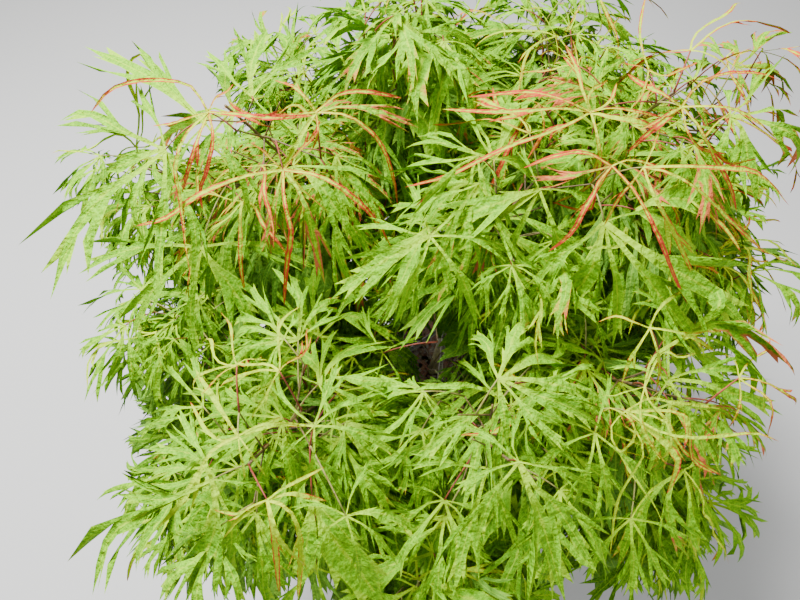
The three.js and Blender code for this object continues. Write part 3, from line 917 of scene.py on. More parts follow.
@dataclass
class Crown:
    """All the masses, thinned to the leaves that keep to their own reach and clear of the limbs.

    Attributes:
        own_margin, inner_margin, outer_margin: How far a lobe may end past its mass's reach in the part,
            past the outer stretch of its bough, and past the whole part's box, in mm.
        limb_room: How near a lobe may pass to a limb's middle, in mm.
        sizes: Shares of its full size at which a leaf is tried.
        spray_room, window: How much room the lines of sight to a placed leaf and to the trunk get, in mm.
        window_heights: The heights on the trunk that are left open to view, in mm.
        shade_gap, shade_reach: How far over a leaf and aside of it another one shades it, in mm.
        full_shade: How many leaves over it leave it in full shade.
        chance: How much luck adds to a leaf's light.
        fresh_from, green_from: The light from which a mature leaf gets painted light, or the middle green.
        broad_below, broad_from: The light below which and the luck from which its lobes are broad.
        fresh_flush, fresh_pallor: How far leaves in painted light flush with their mass, and how far they
            start back.
        young_flush, young_pallor, young_chance: The same of young leaves, and what luck adds.
        young_from: The blush from which a placed leaf is a young one.
        facing: Which way its blade faces.
        trunk_points, bough_points: How many points of each limb the leaves have to clear.
        view_shares, clear_shares: Where along a leaf's lobes it is tried for the view, and for the limbs.
    """

    own_margin: float = 24
    inner_margin: float = 80
    outer_margin: float = 12
    limb_room: float = 9
    sizes: tuple[float, ...] = (1.1, 0.95, 0.8)
    spray_room: float = 52
    window: float = 17
    window_heights: tuple[float, ...] = (244, 300, 360, 420)
    shade_gap: float = 25
    shade_reach: float = 80
    full_shade: float = 26
    chance: float = 0.4
    fresh_from: float = 0.85
    green_from: float = 0.5
    broad_below: float = 0.4
    broad_from: float = 0.75
    fresh_flush: float = 0.35
    fresh_pallor: float = 0.5
    young_flush: float = 0.6
    young_pallor: float = 0.3
    young_chance: float = 0.3
    young_from: float = -0.5
    facing: Place = (0, -0.35, 1)
    trunk_points: int = 80
    bough_points: int = 30
    view_shares: tuple[float, ...] = (0, 0.3, 0.6, 0.9)
    clear_shares: tuple[float, ...] = (0, 0.35, 0.7, 1)
    masses: list[Mass] = field(default_factory=list)

    def grow(self) -> None:
        """Grows every mass, adds the placed leaves and tints all the others."""
        limbs = self.limb_points()
        for index, limb in enumerate(LIMBS):
            mass = Mass(limb, index)
            mass.grow()
            grown, luck = mass.leaves, mass.stream(2)
            mass.leaves = [
                leaf
                for leaf in grown
                if luck() >= limb.open and self.open_to_view(leaf) and self.fit(leaf, mass, limbs)
            ]
            self.masses.append(mass)
            log.info("%s: %d of %d leaves kept", limb.foliage, len(mass.leaves), len(grown))
        for spray in SPRAYS:
            self.place(spray)
        self.tint()

    def open_to_view(self, leaf: Leaf) -> bool:
        """Whether a leaf leaves the placed ones and the trunk's foot open to view."""
        hubs = np.array([spray.hub for spray in SPRAYS])
        foot = np.array([FRAME.trunk_at(height) for height in self.window_heights])
        if self.before(leaf.base[None], hubs, self.spray_room):
            return False
        return not self.before(leaf.spots(1, self.view_shares), foot, self.window)

    @staticmethod
    def before(spots: Vec, targets: Vec, room: float) -> bool:
        """Whether any spot stands nearer than some room to the line of sight to any target."""
        sight = unit_rows(np.array(SIGHT.eye) - targets)
        apart = spots[:, None] - targets[None]
        along = np.maximum(np.sum(apart * sight[None], axis=2), 0)
        return bool((np.linalg.norm(apart - along[..., None] * sight[None], axis=2) < room).any())

    def place(self, spray: Spray) -> None:
        """Gives a placed leaf to the mass with the nearest twig, and a stalk from that twig.

        Args:
            spray: The placed leaf.
        """
        hub = spray.hub
        nodes = ((mass, node) for mass in self.masses for line, _ in mass.twigs for node in line)
        mass, node = min(nodes, key=lambda pair: np.linalg.norm(pair[1] - hub))
        young = spray.blush > self.young_from
        leaf = Leaf(YOUNG if young else MATURE, node, hub, unit(hub - node), unit(np.array(self.facing)))
        leaf.blush, leaf.spray = spray.blush, spray
        mass.leaves.append(leaf)
        reach = np.linalg.norm(node - hub)
        log.info("placed leaf at %s: %.0f mm from a twig of %s", hub.round(), reach, mass.limb.foliage)

    def limb_points(self) -> Vec:
        """Points along the trunk and every bough, a few millimetres apart."""
        heights = np.linspace(FRAME.mix_level, FRAME.trunk_top[2], self.trunk_points)
        trunk = np.array([FRAME.trunk_at(height) for height in heights])
        return np.vstack([trunk, *(FRAME.bough_line(limb).spaced(self.bough_points) for limb in LIMBS)])

    def fit(self, leaf: Leaf, mass: Mass, limbs: Vec) -> bool:
        """Shrinks a leaf until it fits.

        Args:
            leaf: The leaf, whose length is changed.
            mass: The mass that it belongs to.
            limbs: Points along the limbs, which it has to clear.

        Returns:
            Whether some size fits.
        """
        low, high = (np.array(corner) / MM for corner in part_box(mass.limb.foliage))
        least, most = (np.array(corner) / MM for corner in CAD_BOX)
        inner = RULE.leafy_bough(mass.limb)
        low = np.minimum(low - self.own_margin, inner.min(axis=0) - self.inner_margin)
        high = np.maximum(high + self.own_margin, inner.max(axis=0) + self.inner_margin)
        low = np.maximum(low, least - self.outer_margin)
        high = np.minimum(high, most + self.outer_margin)
        for size in self.sizes:
            tips = leaf.lobe_tips(size)
            if (tips < low).any() or (tips > high).any():
                continue
            spots = leaf.spots(size, self.clear_shares)
            if np.linalg.norm(spots[:, None] - limbs[None], axis=2).min() > self.limb_room:
                leaf.length *= size
                return True
        return False

    def tint(self) -> None:
        """Deals the colours out over the crown, by how much hangs over each leaf, as painted light and
        shade.
        """
        hubs = np.array([leaf.base for mass in self.masses for leaf in mass.leaves])
        for mass in self.masses:
            draw = mass.stream(1)
            for leaf in mass.leaves:
                luck = draw()
                if leaf.spray:
                    continue
                apart = hubs - leaf.base
                above = (apart[:, 2] > self.shade_gap) & (np.hypot(*apart[:, :2].T) < self.shade_reach)
                lit = 1 - min(above.sum() / self.full_shade, 1)
                light, blush = lit + luck * self.chance, mass.limb.blush
                if leaf.kind.young:
                    leaf.tint = Tint.YOUNG
                    flushed = blush * self.young_flush * lit
                    leaf.blush = flushed - self.young_pallor + luck * self.young_chance
                # Mature leaves get the leaf colour in painted light where little hangs over them, and in
                # painted shade where much does.
                elif light > self.fresh_from:
                    leaf.tint = Tint.FRESH
                    leaf.blush = blush * (lit + luck) * self.fresh_flush - self.fresh_pallor
                else:
                    leaf.tint = Tint.GREEN if light > self.green_from else Tint.SHADE
                leaf.broad = not leaf.kind.young and lit < self.broad_below and luck > self.broad_from


# Meshes

STEEP = 0.9


def deselect_all() -> None:
    """Leaves nothing selected, in object mode."""
    if bpy.context.object and bpy.context.object.mode != "OBJECT":
        bpy.ops.object.mode_set(mode="OBJECT")
    bpy.ops.object.select_all(action="DESELECT")


def take_up(*objects: Object) -> None:
    """Selects some objects alone and makes the first one the active one."""
    deselect_all()
    for obj in objects:
        obj.select_set(True)
    bpy.context.view_layer.objects.active = objects[0]


def joined(objects: Sequence[Object]) -> Object:
    """Several objects joined into one."""
    take_up(*objects)
    bpy.ops.object.join()
    return bpy.context.object


def settle(obj: Object) -> None:
    """Applies an object's place to its mesh, so that it sits at the origin, unturned."""
    take_up(obj)
    bpy.ops.object.transform_apply(location=True, rotation=True, scale=True)


def apply_modifier(obj: Object, kind: str, **settings: object) -> None:
    """Adds a modifier to an object with its settings and applies it."""
    take_up(obj)
    modifier = obj.modifiers.new(kind.title(), kind)
    for name, value in settings.items():
        setattr(modifier, name, value)
    bpy.ops.object.modifier_apply(modifier=modifier.name)


def edit_all() -> None:
    """Goes into edit mode on the active object, with all of it selected."""
    bpy.ops.object.mode_set(mode="EDIT")
    bpy.ops.mesh.select_all(action="SELECT")


def close_edit() -> None:
    """Turns all the faces outwards and leaves edit mode."""
    bpy.ops.mesh.select_all(action="SELECT")
    bpy.ops.mesh.normals_make_consistent(inside=False)
    bpy.ops.object.mode_set(mode="OBJECT")


def extrude(move: Place) -> None:
    """Extrudes what is selected by a move."""
    bpy.ops.mesh.extrude_region_move(TRANSFORM_OT_translate={"value": move})


def start_disc(name: str, sides: int, radius: float, height: float) -> Object:
    """A filled disc round the pot's axis that faces down, all selected in edit mode.

    Args:
        name: Its name.
        sides: How many sides it has.
        radius, height: Its radius, and how high it lies.

    Returns:
        The object.
    """
    deselect_all()
    place = (0, 0, height)
    bpy.ops.mesh.primitive_circle_add(vertices=sides, radius=radius, fill_type="NGON", location=place)
    disc = bpy.context.object
    disc.name = disc.data.name = name
    edit_all()
    bpy.ops.mesh.flip_normals()
    return disc


def discard(obj: Object) -> None:
    """Removes a mesh object and its mesh."""
    mesh = obj.data
    bpy.data.objects.remove(obj)
    bpy.data.meshes.remove(mesh)


def dress(obj: Object, slot: Slot, materials: Iterable[Material], *nodes: str) -> None:
    """Gives a piece its materials and hands it to the frame.

    Args:
        obj: The piece.
        slot: The slot of the record meant for its finish; not used.
        materials: Its materials, in the order in which its faces number them.
        nodes: The nodes of the part that it stands for.
    """
    for material in materials:
        obj.data.materials.append(material)
    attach(obj, BODY)
    if nodes:
        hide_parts(*nodes)
    log.info("%s: %d faces", obj.name, len(obj.data.polygons))


@dataclass
class Batch:
    """Many small shapes that are joined into one mesh.

    Attributes:
        points: Their points in metres, group by group.
        faces: Their faces, each group with one row of point numbers for each face.
        finishes: The material number of each face, group by group.
        maps: The rows of each map, one for each point.
        count: How many points there are so far.
    """

    points: list[Vec] = field(default_factory=list)
    faces: list[Vec] = field(default_factory=list)
    finishes: list[Vec] = field(default_factory=list)
    maps: dict[str, list[Vec]] = field(default_factory=dict)
    count: int = 0

    def add(self, points: Vec, faces: Sequence[Vec], finishes: Sequence[Vec] = (), **maps: Vec) -> None:
        """Adds a shape or a group of them, with its faces numbered from its own first point.

        Args:
            points: Its points in metres.
            faces: Its faces, in groups of as many corners.
            finishes: The material number of each face, group by group.
            maps: For each map its rows, one for each point.
        """
        self.points.append(points)
        self.faces += [group + self.count for group in faces]
        self.finishes += finishes
        for name, rows in maps.items():
            self.maps.setdefault(name, []).append(rows)
        self.count += len(points)

    def join(self, name: str, smooth: bool = True) -> Object:
        """Makes one mesh object of all the shapes.

        Args:
            name: The object's name.
            smooth: Whether its faces are shaded smooth.

        Returns:
            The object.
        """
        mesh = bpy.data.meshes.new(name)
        loops = np.concatenate([group.ravel() for group in self.faces]).astype(np.int32)
        sizes = np.concatenate([np.full(len(group), group.shape[1]) for group in self.faces])
        starts = np.r_[0, np.cumsum(sizes)[:-1]].astype(np.int32)
        mesh.vertices.add(self.count)
        mesh.vertices.foreach_set("co", np.vstack(self.points).astype(np.float32).ravel())
        mesh.loops.add(len(loops))
        mesh.loops.foreach_set("vertex_index", loops)
        mesh.polygons.add(len(starts))
        mesh.polygons.foreach_set("loop_start", starts)
        mesh.polygons.foreach_set("use_smooth", np.full(len(starts), smooth))
        if self.finishes:
            mesh.polygons.foreach_set("material_index", np.concatenate(self.finishes).astype(np.int32))
        mesh.update(calc_edges=True)
        for title, rows in self.maps.items():
            corners = np.vstack(rows)[loops].astype(np.float32)
            mesh.uv_layers.new(name=title).data.foreach_set("uv", corners.ravel())
        obj = bpy.data.objects.new(name, mesh)
        bpy.context.scene.collection.objects.link(obj)
        return obj


def headings(lines: Vec) -> Vec:
    """The direction at each point of many lines, given as (lines, points, 3)."""
    steps = np.diff(lines, axis=1)
    return unit_rows(np.concatenate((steps[:, :1], steps[:, 1:] + steps[:, :-1], steps[:, -1:]), axis=1))


def carried(ahead: Vec, first: Vec) -> Vec:
    """A direction of each line carried along it, square to it and without turning round it.

    Args:
        ahead: The lines' directions, as (lines, points, 3).
        first: The direction to start each with, as (lines, 3).

    Returns:
        The direction at each point.
    """
    rows = np.empty_like(ahead)
    last = first
    for k in range(ahead.shape[1]):
        along = np.sum(last * ahead[:, k], axis=1, keepdims=True)
        last = unit_rows(last - along * ahead[:, k])
        rows[:, k] = last
    return rows


def tubes(name: str, lines: Vec, radii: Vec, sides: int) -> Object:
    """Closed round tubes along many lines of equally many points, as one mesh object.

    Args:
        name: The object's name.
        lines: The lines' points in mm, as (lines, points, 3).
        radii: The radius at each point in mm, as (lines, points).
        sides: How many sides each tube has.

    Returns:
        The object.
    """
    count, length = lines.shape[:2]
    ahead = headings(lines)
    first = np.where(np.abs(ahead[:, 0, 2:]) > STEEP, (1.0, 0.0, 0.0), (0.0, 0.0, 1.0))
    level = carried(ahead, first)
    across = np.cross(ahead, level)
    turns = np.arange(sides) * 2 * math.pi / sides
    ring = level[:, :, None] * np.cos(turns)[:, None] + across[:, :, None] * np.sin(turns)[:, None]
    points = lines[:, :, None] + ring * radii[:, :, None, None]
    number = np.arange(count * length * sides).reshape(count, length, sides)
    following = np.roll(number, -1, axis=2)
    walls = np.stack((number[:, :-1], following[:, :-1], following[:, 1:], number[:, 1:]), axis=-1)
    ends = np.concatenate((number[:, 0, ::-1], number[:, -1]))
    batch = Batch()
    batch.add(points.reshape(-1, 3) * MM, [walls.reshape(-1, 4), ends])
    return batch.join(name)


# Finishes

WHOLE = (0, 1)
USUAL = (0.3, 0.7)
MIDDLE = (0.35, 0.65)


class NodeMaker:
    """Builds a procedural material round one Principled shader."""

    def __init__(self, name: str) -> None:
        """Starts a material of a name, with Object coordinates."""
        self.material = bpy.data.materials.new(name)
        self.material.use_nodes = True
        self.tree = self.material.node_tree
        self.shader = self.tree.nodes["Principled BSDF"]
        self.place = self.node("TexCoord", "Object", {})

    def feed(self, socket: Socket, value: Value) -> None:
        """Links a socket to another one, or sets it to a number, a colour or a vector."""
        if isinstance(value, Socket):
            self.tree.links.new(value, socket)
        elif socket.type == "RGBA":
            socket.default_value = (*value, 1)
        else:
            socket.default_value = value

    def node(
        self, kind: str, output: str | int, inputs: dict[str | int, Value], **settings: object
    ) -> Socket:
        """Adds a shader node.

        Args:
            kind: Its kind, without the prefix that all kinds share.
            output: Which of its outputs is wanted.
            inputs: What its inputs are fed.
            settings: Its other settings.

        Returns:
            The socket of that output.
        """
        node = self.tree.nodes.new(f"ShaderNode{kind}")
        for name, value in settings.items():
            setattr(node, name, value)
        for name, value in inputs.items():
            self.feed(node.inputs[name], value)
        return node.outputs[output]

    def noise(self, scale: float, detail: float, stretch: Place = (1, 1, 1)) -> Socket:
        """A noise pattern of a fineness and so many finer layers, stretched along the axes."""
        spot = self.node("Mapping", "Vector", {"Vector": self.place, "Scale": stretch})
        return self.node("TexNoise", "Fac", {"Vector": spot, "Scale": scale, "Detail": detail})

    def cells(self, scale: float) -> Socket:
        """How far each place is from the middle of its cell, in a pattern of cells."""
        return self.node("TexVoronoi", "Distance", {"Vector": self.place, "Scale": scale}, feature="F1")

    def ramp(self, value: Socket, *stops: tuple[float, Colour]) -> Socket:
        """A colour for each value, blended between stops.

        Args:
            value: What the colour follows.
            stops: Some values, from 0 to 1, with their colours.

        Returns:
            The socket of the colour.
        """
        colour = self.node("ValToRGB", "Color", {"Fac": value})
        elements = colour.node.color_ramp.elements
        while len(elements) < len(stops):
            elements.new(0.5)
        for element, (place, shade) in zip(elements, stops):
            element.position = place
            element.color = (*shade, 1)
        return colour

    def level(self, value: Value, span: Span, target: Span) -> Socket:
        """A value carried from one span to another, and held within it."""
        ends = dict(zip(("From Min", "From Max", "To Min", "To Max"), (*span, *target)))
        return self.node("MapRange", "Result", {"Value": value, **ends})

    def uv(self, name: str) -> tuple[Socket, Socket]:
        """The two numbers that a map of the mesh holds."""
        across = self.node("SeparateXYZ", "X", {"Vector": self.node("UVMap", "UV", {}, uv_map=name)})
        return across, across.node.outputs["Y"]

    def math(self, operation: str, first: Value, second: Value) -> Socket:
        """The result of an operation on two values."""
        return self.node("Math", "Value", {0: first, 1: second}, operation=operation)

    def total(self, first: Value, *others: Value) -> Socket:
        """Several values added up."""
        for value in others:
            first = self.math("ADD", first, value)
        return first

    def mix(self, share: Value, first: Value, second: Value) -> Socket:
        """Two colours mixed by a share."""
        return self.node("Mix", 2, {"Factor": share, 6: first, 7: second}, data_type="RGBA")

    def bump(self, *heights: tuple[Socket, float, float]) -> None:
        """Raises the surface by one or more patterns, each with a strength and a depth in metres."""
        below: dict[str, Socket] = {}
        for value, strength, depth in heights:
            inputs = {"Strength": strength, "Distance": depth, "Height": value, **below}
            below = {"Normal": self.node("Bump", "Normal", inputs)}
        self.wire(**below)

    def wire(self, **sockets: Value) -> None:
        """Feeds the shader's sockets by name, with _ for a space."""
        for name, value in sockets.items():
            self.feed(self.shader.inputs[name.replace("_", " ")], value)


def shaded(colour: Colour, share: float) -> Colour:
    """A colour made lighter or darker by a share."""
    return tuple(min(channel * share, 1.0) for channel in colour)


@dataclass(frozen=True)
class LeafFinish:
    """Soft leaf skin with a pale midrib, side veins, edges and a flush from the tips inwards.

    Attributes:
        name: The material's name.
        blade, mottle: The blade's colour, and the darker one that it is mottled with.
        rib: The colour of its midribs and of the narrow foot of each lobe.
        edge, flush: The colour of its edges, and the one that its edges and tips flush.
        veins, vein_lean: How many side veins a lobe has, and how many of them one crosses going outwards.
        rib_fade, foot_fade, rim_fade, flush_fade: The shares of the way across or along a lobe between
            which each of these colours fades or sets in.
        patches, puckers, grains: The fineness and the layers of its noise patterns.
    """

    name: str
    blade: Colour
    mottle: Colour
    rib: Colour
    edge: Colour
    flush: Colour = (0.52, 0.06, 0.022)
    veins: float = 15
    vein_lean: float = 2.2
    vein_share: float = 0.2
    rib_fade: Span = (0.05, 0.17)
    foot_fade: Span = (0.06, 0.36)
    rim_fade: Span = (0.9, 1.1)
    flush_fade: Span = (1.05, 1.35)
    roughness: Span = (0.49, 0.65)
    patches: Span = (26, 3)
    puckers: Span = (130, 4)
    grains: Span = (420, 3)

    def material(self) -> Material:
        """The finish as a material."""
        maker = NodeMaker(self.name)
        level = maker.level
        along, across = maker.uv(LOBE_MAP)
        blush, tone = maker.uv(SPRAY_MAP)
        wide, pucker, fine = (maker.noise(*sizes) for sizes in (self.patches, self.puckers, self.grains))
        patch = maker.total(
            level(wide, USUAL, (0, 0.3)),
            level(tone, WHOLE, (0, 0.35)),
            level(pucker, MIDDLE, (0, 0.25)),
            level(fine, (0.38, 0.62), (-0.25, 0.35)),
        )
        skin = maker.mix(patch, self.mottle, self.blade)
        phase = maker.total(level(along, WHOLE, (0, self.veins)), level(across, WHOLE, (self.vein_lean, 0)))
        vein = level(maker.math("PINGPONG", phase, 0.5), (0, 0.2), (1, 0))
        skin = maker.mix(maker.math("MULTIPLY", vein, self.vein_share), skin, self.rib)
        rib = level(maker.total(across, level(pucker, USUAL, (0, 0.06))), self.rib_fade, (0.8, 0))
        foot = level(along, self.foot_fade, (0.85, 0))
        skin = maker.mix(maker.math("MAXIMUM", rib, foot), skin, self.rib)
        rim = maker.total(across, level(pucker, MIDDLE, (0, 0.14)))
        skin = maker.mix(level(rim, self.rim_fade, (0, 0.55)), skin, self.edge)
        reach = maker.total(
            level(across, WHOLE, (0, 0.7)),
            level(along, WHOLE, (0, 0.45)),
            level(pucker, USUAL, (0, 0.45)),
            blush,
        )
        skin = maker.mix(level(reach, self.flush_fade, WHOLE), skin, self.flush)
        maker.bump((vein, 0.35, 0.001), (pucker, 1.0, 0.006), (fine, 0.3, 0.0005))
        maker.wire(Base_Color=skin, Roughness=level(fine, USUAL, self.roughness), Specular_IOR_Level=0.07)
        return maker.material


@dataclass(frozen=True)
class BarkFinish:
    """Smooth young bark, streaked along the limb, with pale pores and darker scars."""

    name: str
    dark: Colour
    pale: Colour
    pore: Colour
    streak: Place = (60, 60, 9)

    def material(self) -> Material:
        """The finish as a material."""
        maker = NodeMaker(self.name)
        streaks = maker.noise(4, 6, self.streak)
        base = maker.ramp(streaks, (0.3, self.dark), (0.62, self.pale), (0.8, shaded(self.pale, 1.25)))
        scars = maker.level(maker.noise(30, 3), (0.45, 0.7), (0, 0.6))
        pores = maker.level(maker.cells(260), (0.16, 0.24), (1, 0))
        maker.bump((streaks, 0.5, 0.0012), (pores, 0.6, 0.0008))
        maker.wire(
            Base_Color=maker.mix(pores, maker.mix(scars, base, shaded(self.dark, 0.8)), self.pore),
            Roughness=maker.level(streaks, (0.3, 0.8), (0.45, 0.75)),
        )
        return maker.material


@dataclass(frozen=True)
class ChipFinish:
    """Damp bark chip, streaked along its grain."""

    name: str
    colour: Colour
    pale: Colour

    def material(self) -> Material:
        """The finish as a material."""
        maker = NodeMaker(self.name)
        grain = maker.noise(160, 5, (1, 3, 1))
        base = maker.ramp(grain, (0.3, shaded(self.colour, 0.55)), (0.55, self.colour), (0.75, self.pale))
        damp = maker.level(maker.noise(35, 2), (0.4, 0.7), (0, 0.5))
        maker.bump((grain, 0.8, 0.0015))
        maker.wire(
            Base_Color=maker.mix(damp, base, shaded(self.colour, 0.6)),
            Roughness=maker.level(grain, USUAL, (0.6, 0.95)),
        )
        return maker.material


@dataclass(frozen=True)
class PotFinish:
    """Moulded dark plastic with a soft sheen, fine texture, scuffs and dust towards the foot."""

    name: str
    colour: Colour
    scuff: Colour
    dust: Colour

    def material(self) -> Material:
        """The finish as a material."""
        maker = NodeMaker(self.name)
        scuffs = maker.noise(7, 8, (1, 1, 6))
        worn = maker.mix(maker.level(scuffs, (0.56, 0.72), (0, 0.7)), self.colour, self.scuff)
        low = maker.level(maker.node("SeparateXYZ", "Z", {"Vector": maker.place}), (0, 0.07), (1, 0))
        speckle = maker.level(maker.noise(60, 6), (0.45, 0.75), WHOLE)
        maker.bump((maker.noise(900, 2), 0.25, 0.0004), (scuffs, 0.15, 0.0006))
        maker.wire(
            Base_Color=maker.mix(maker.math("MULTIPLY", low, speckle), worn, self.dust),
            Roughness=maker.level(scuffs, (0.4, 0.75), (0.38, 0.62)),
            Specular_IOR_Level=0.5,
        )
        return maker.material


POT_PLASTIC = PotFinish("pot_plastic", (0.022, 0.023, 0.026), (0.075, 0.077, 0.08), (0.2, 0.16, 0.12))
TRUNK_BARK = BarkFinish("trunk_bark", (0.045, 0.04, 0.012), (0.15, 0.135, 0.045), (0.34, 0.28, 0.17))
TWIG_BARK = BarkFinish("twig_bark", (0.08, 0.05, 0.014), (0.19, 0.13, 0.035), (0.3, 0.2, 0.1))
RED_STALK = BarkFinish("red_stalk", (0.16, 0.02, 0.012), (0.36, 0.07, 0.03), (0.4, 0.16, 0.07))
GREEN_STALK = BarkFinish("green_stalk", (0.2, 0.16, 0.03), (0.36, 0.38, 0.08), (0.4, 0.34, 0.14))
SOIL = ChipFinish("dark_mix", (0.035, 0.022, 0.014), (0.07, 0.045, 0.03))
CHIPS = (
    ChipFinish("brown_chip", (0.11, 0.055, 0.03), (0.24, 0.14, 0.085)),
    ChipFinish("red_chip", (0.16, 0.06, 0.03), (0.3, 0.15, 0.085)),
    ChipFinish("grey_chip", (0.15, 0.115, 0.085), (0.32, 0.26, 0.2)),
)
# The first three are lit, middle and shaded copies of one leaf colour, painted light and painted shade; the
# last is the young leaves' own colour.
LEAF_FINISHES = {
    Tint.FRESH: LeafFinish(
        "fresh_leaf",
        blade=(0.235, 0.55, 0.002),
        mottle=(0.075, 0.25, 0.004),
        rib=(0.38, 0.6, 0.008),
        edge=(0.42, 0.66, 0.012),
        flush=(0.5, 0.13, 0.04),
    ),
    Tint.GREEN: LeafFinish(
        "green_leaf",
        blade=(0.15, 0.39, 0.003),
        mottle=(0.055, 0.18, 0.004),
        rib=(0.36, 0.6, 0.02),
        edge=(0.32, 0.56, 0.018),
    ),
    Tint.SHADE: LeafFinish(
        "shade_leaf",
        blade=(0.15, 0.35, 0.024),
        mottle=(0.075, 0.21, 0.018),
        rib=(0.28, 0.5, 0.034),
        edge=(0.25, 0.45, 0.03),
    ),
    Tint.YOUNG: LeafFinish(
        "young_leaf",
        blade=(0.43, 0.64, 0.004),
        mottle=(0.27, 0.5, 0.004),
        rib=(0.52, 0.7, 0.008),
        edge=(0.56, 0.42, 0.015),
    ),
}
TINTS = tuple(LEAF_FINISHES)


# Lobes of the leaves


@dataclass(frozen=True)
class Prong:
    """A side prong of a lobe, as shares of the lobe's length.

    Attributes:
        side: 1 for the left of the lobe, -1 for its right.
        foot: The first of the stations that it grows from.
        ahead: How far its tip lies past the middle of its foot.
        out: How far its tip stands out from there.
        stretches: How many stretches of the edge it grows from: 2 for a prong, 1 for a small tooth.
    """

    side: int
    foot: int
    ahead: float
    out: float
    stretches: int = 2


@dataclass
class Lobe:
    """One form of lobe, modelled flat along X at a length of 1.

    Attributes:
        stations: (share of the length, half width) from its foot to its tip.
        prongs: Its side prongs and teeth.
        waist: How far a prong narrows with each step outwards.
        halfway: The share of a prong's length that the first step takes.
        fork: How far across the lobe the midrib of a prong starts.
        same: How near two points of the mesh count as one.
        points, faces: Its points once it is modelled, and its faces in groups of as many corners.
        across: How far each point is from the midrib of its lobe or prong, 0, to the edge, 1.
    """

    stations: tuple[Span, ...]
    prongs: tuple[Prong, ...] = ()
    waist: float = 0.72
    halfway: float = 0.55
    fork: float = 0.35
    same: float = 1e-4
    points: Vec = field(default_factory=lambda: np.zeros((0, 3)))
    across: Vec = field(default_factory=lambda: np.zeros(0))
    faces: list[Vec] = field(default_factory=list)

    def model(self) -> None:
        """Models the lobe in edit mode and keeps its shape."""
        deselect_all()
        rows = len(self.stations)
        bpy.ops.mesh.primitive_grid_add(x_subdivisions=rows - 1, y_subdivisions=2, size=1)
        obj = bpy.context.object
        obj.data.attributes.new("across", "FLOAT", "POINT")
        bpy.ops.object.mode_set(mode="EDIT")
        for k, (along, half) in enumerate(self.stations):
            self.pick(obj, lambda point: point.index % rows == k)
            self.mark(obj, lambda point, _: float(abs(point.co.y) > 0.1))
            bpy.ops.transform.resize(value=(1, half / 0.5, 1))
            bpy.ops.transform.translate(value=(along + 0.5 - k / (rows - 1), 0, 0))
        for prong in self.prongs:
            self.draw_prong(obj, prong)
        bpy.ops.mesh.select_all(action="SELECT")
        bpy.ops.mesh.remove_doubles(threshold=1e-5)
        bpy.ops.object.mode_set(mode="OBJECT")
        self.read(obj.data)
        discard(obj)

    def pick(self, obj: Object, chosen: Callable[[bmesh.types.BMVert], bool]) -> None:
        """Selects the points of a mesh in edit mode that a test chooses."""
        shape = bmesh.from_edit_mesh(obj.data)
        shape.select_mode = {"VERT"}
        for point in shape.verts:
            point.select = bool(chosen(point))
        shape.select_flush_mode()
        bmesh.update_edit_mesh(obj.data)

    def mark(self, obj: Object, value: Callable[[bmesh.types.BMVert, float], float]) -> None:
        """Sets how far across the selected points are, from their place and their last value."""
        shape = bmesh.from_edit_mesh(obj.data)
        layer = shape.verts.layers.float["across"]
        for point in shape.verts:
            if point.select:
                point[layer] = value(point, point[layer])
        bmesh.update_edit_mesh(obj.data)

    def draw_prong(self, obj: Object, prong: Prong) -> None:
        """Extrudes a prong from the edge of the lobe and draws it to a point.

        Args:
            obj: The lobe's object, in edit mode.
            prong: The prong.
        """
        feet = self.stations[prong.foot : prong.foot + prong.stretches + 1]
        corners = [Vector((along, prong.side * half, 0)) for along, half in feet]
        middle = corners[1]
        self.pick(obj, lambda point: min((point.co - corner).length for corner in corners) < self.same)
        shares = (1.0,)
        if prong.stretches > 1:
            self.mark(obj, lambda point, last: self.fork if (point.co - middle).length < self.same else last)
            shares = (self.halfway, 1 - self.halfway)
        for share in shares:
            extrude((prong.ahead * share, prong.side * prong.out * share, 0))
            bpy.ops.transform.resize(value=(self.waist,) * 3)
            self.mark(obj, lambda _, last: 0.0 if last < 0.5 else last)
        bpy.ops.mesh.merge(type="CENTER")

    def read(self, mesh: bpy.types.Mesh) -> None:
        """Keeps the finished shape's points, and its faces by how many corners they have.

        Args:
            mesh: The lobe's mesh.
        """
        self.points = np.array([point.co for point in mesh.vertices])
        self.across = np.array([value.value for value in mesh.attributes["across"].data])
        groups: dict[int, list[list[int]]] = {}
        for face in mesh.polygons:
            corners = list(face.vertices)
            if self.facing(corners) < 0:
                corners.reverse()
            groups.setdefault(len(corners), []).append(corners)
        self.faces = [np.array(corners) for corners in groups.values()]

    def facing(self, corners: list[int]) -> float:
        """Twice the area of a face seen from above, below 0 if it faces down."""
        x, y = self.points[corners, 0], self.points[corners, 1]
        return float(np.sum(x * np.roll(y, -1) - np.roll(x, -1) * y))

    def triangles(self) -> int:
        """How many triangles it has."""
        return sum(len(group) * (group.shape[1] - 2) for group in self.faces)


def stations(shares: Sequence[float], halves: Sequence[float]) -> tuple[Span, ...]:
    """A lobe's stations by their shares of its length and its half widths there."""
    return tuple(zip(shares, halves, strict=True))


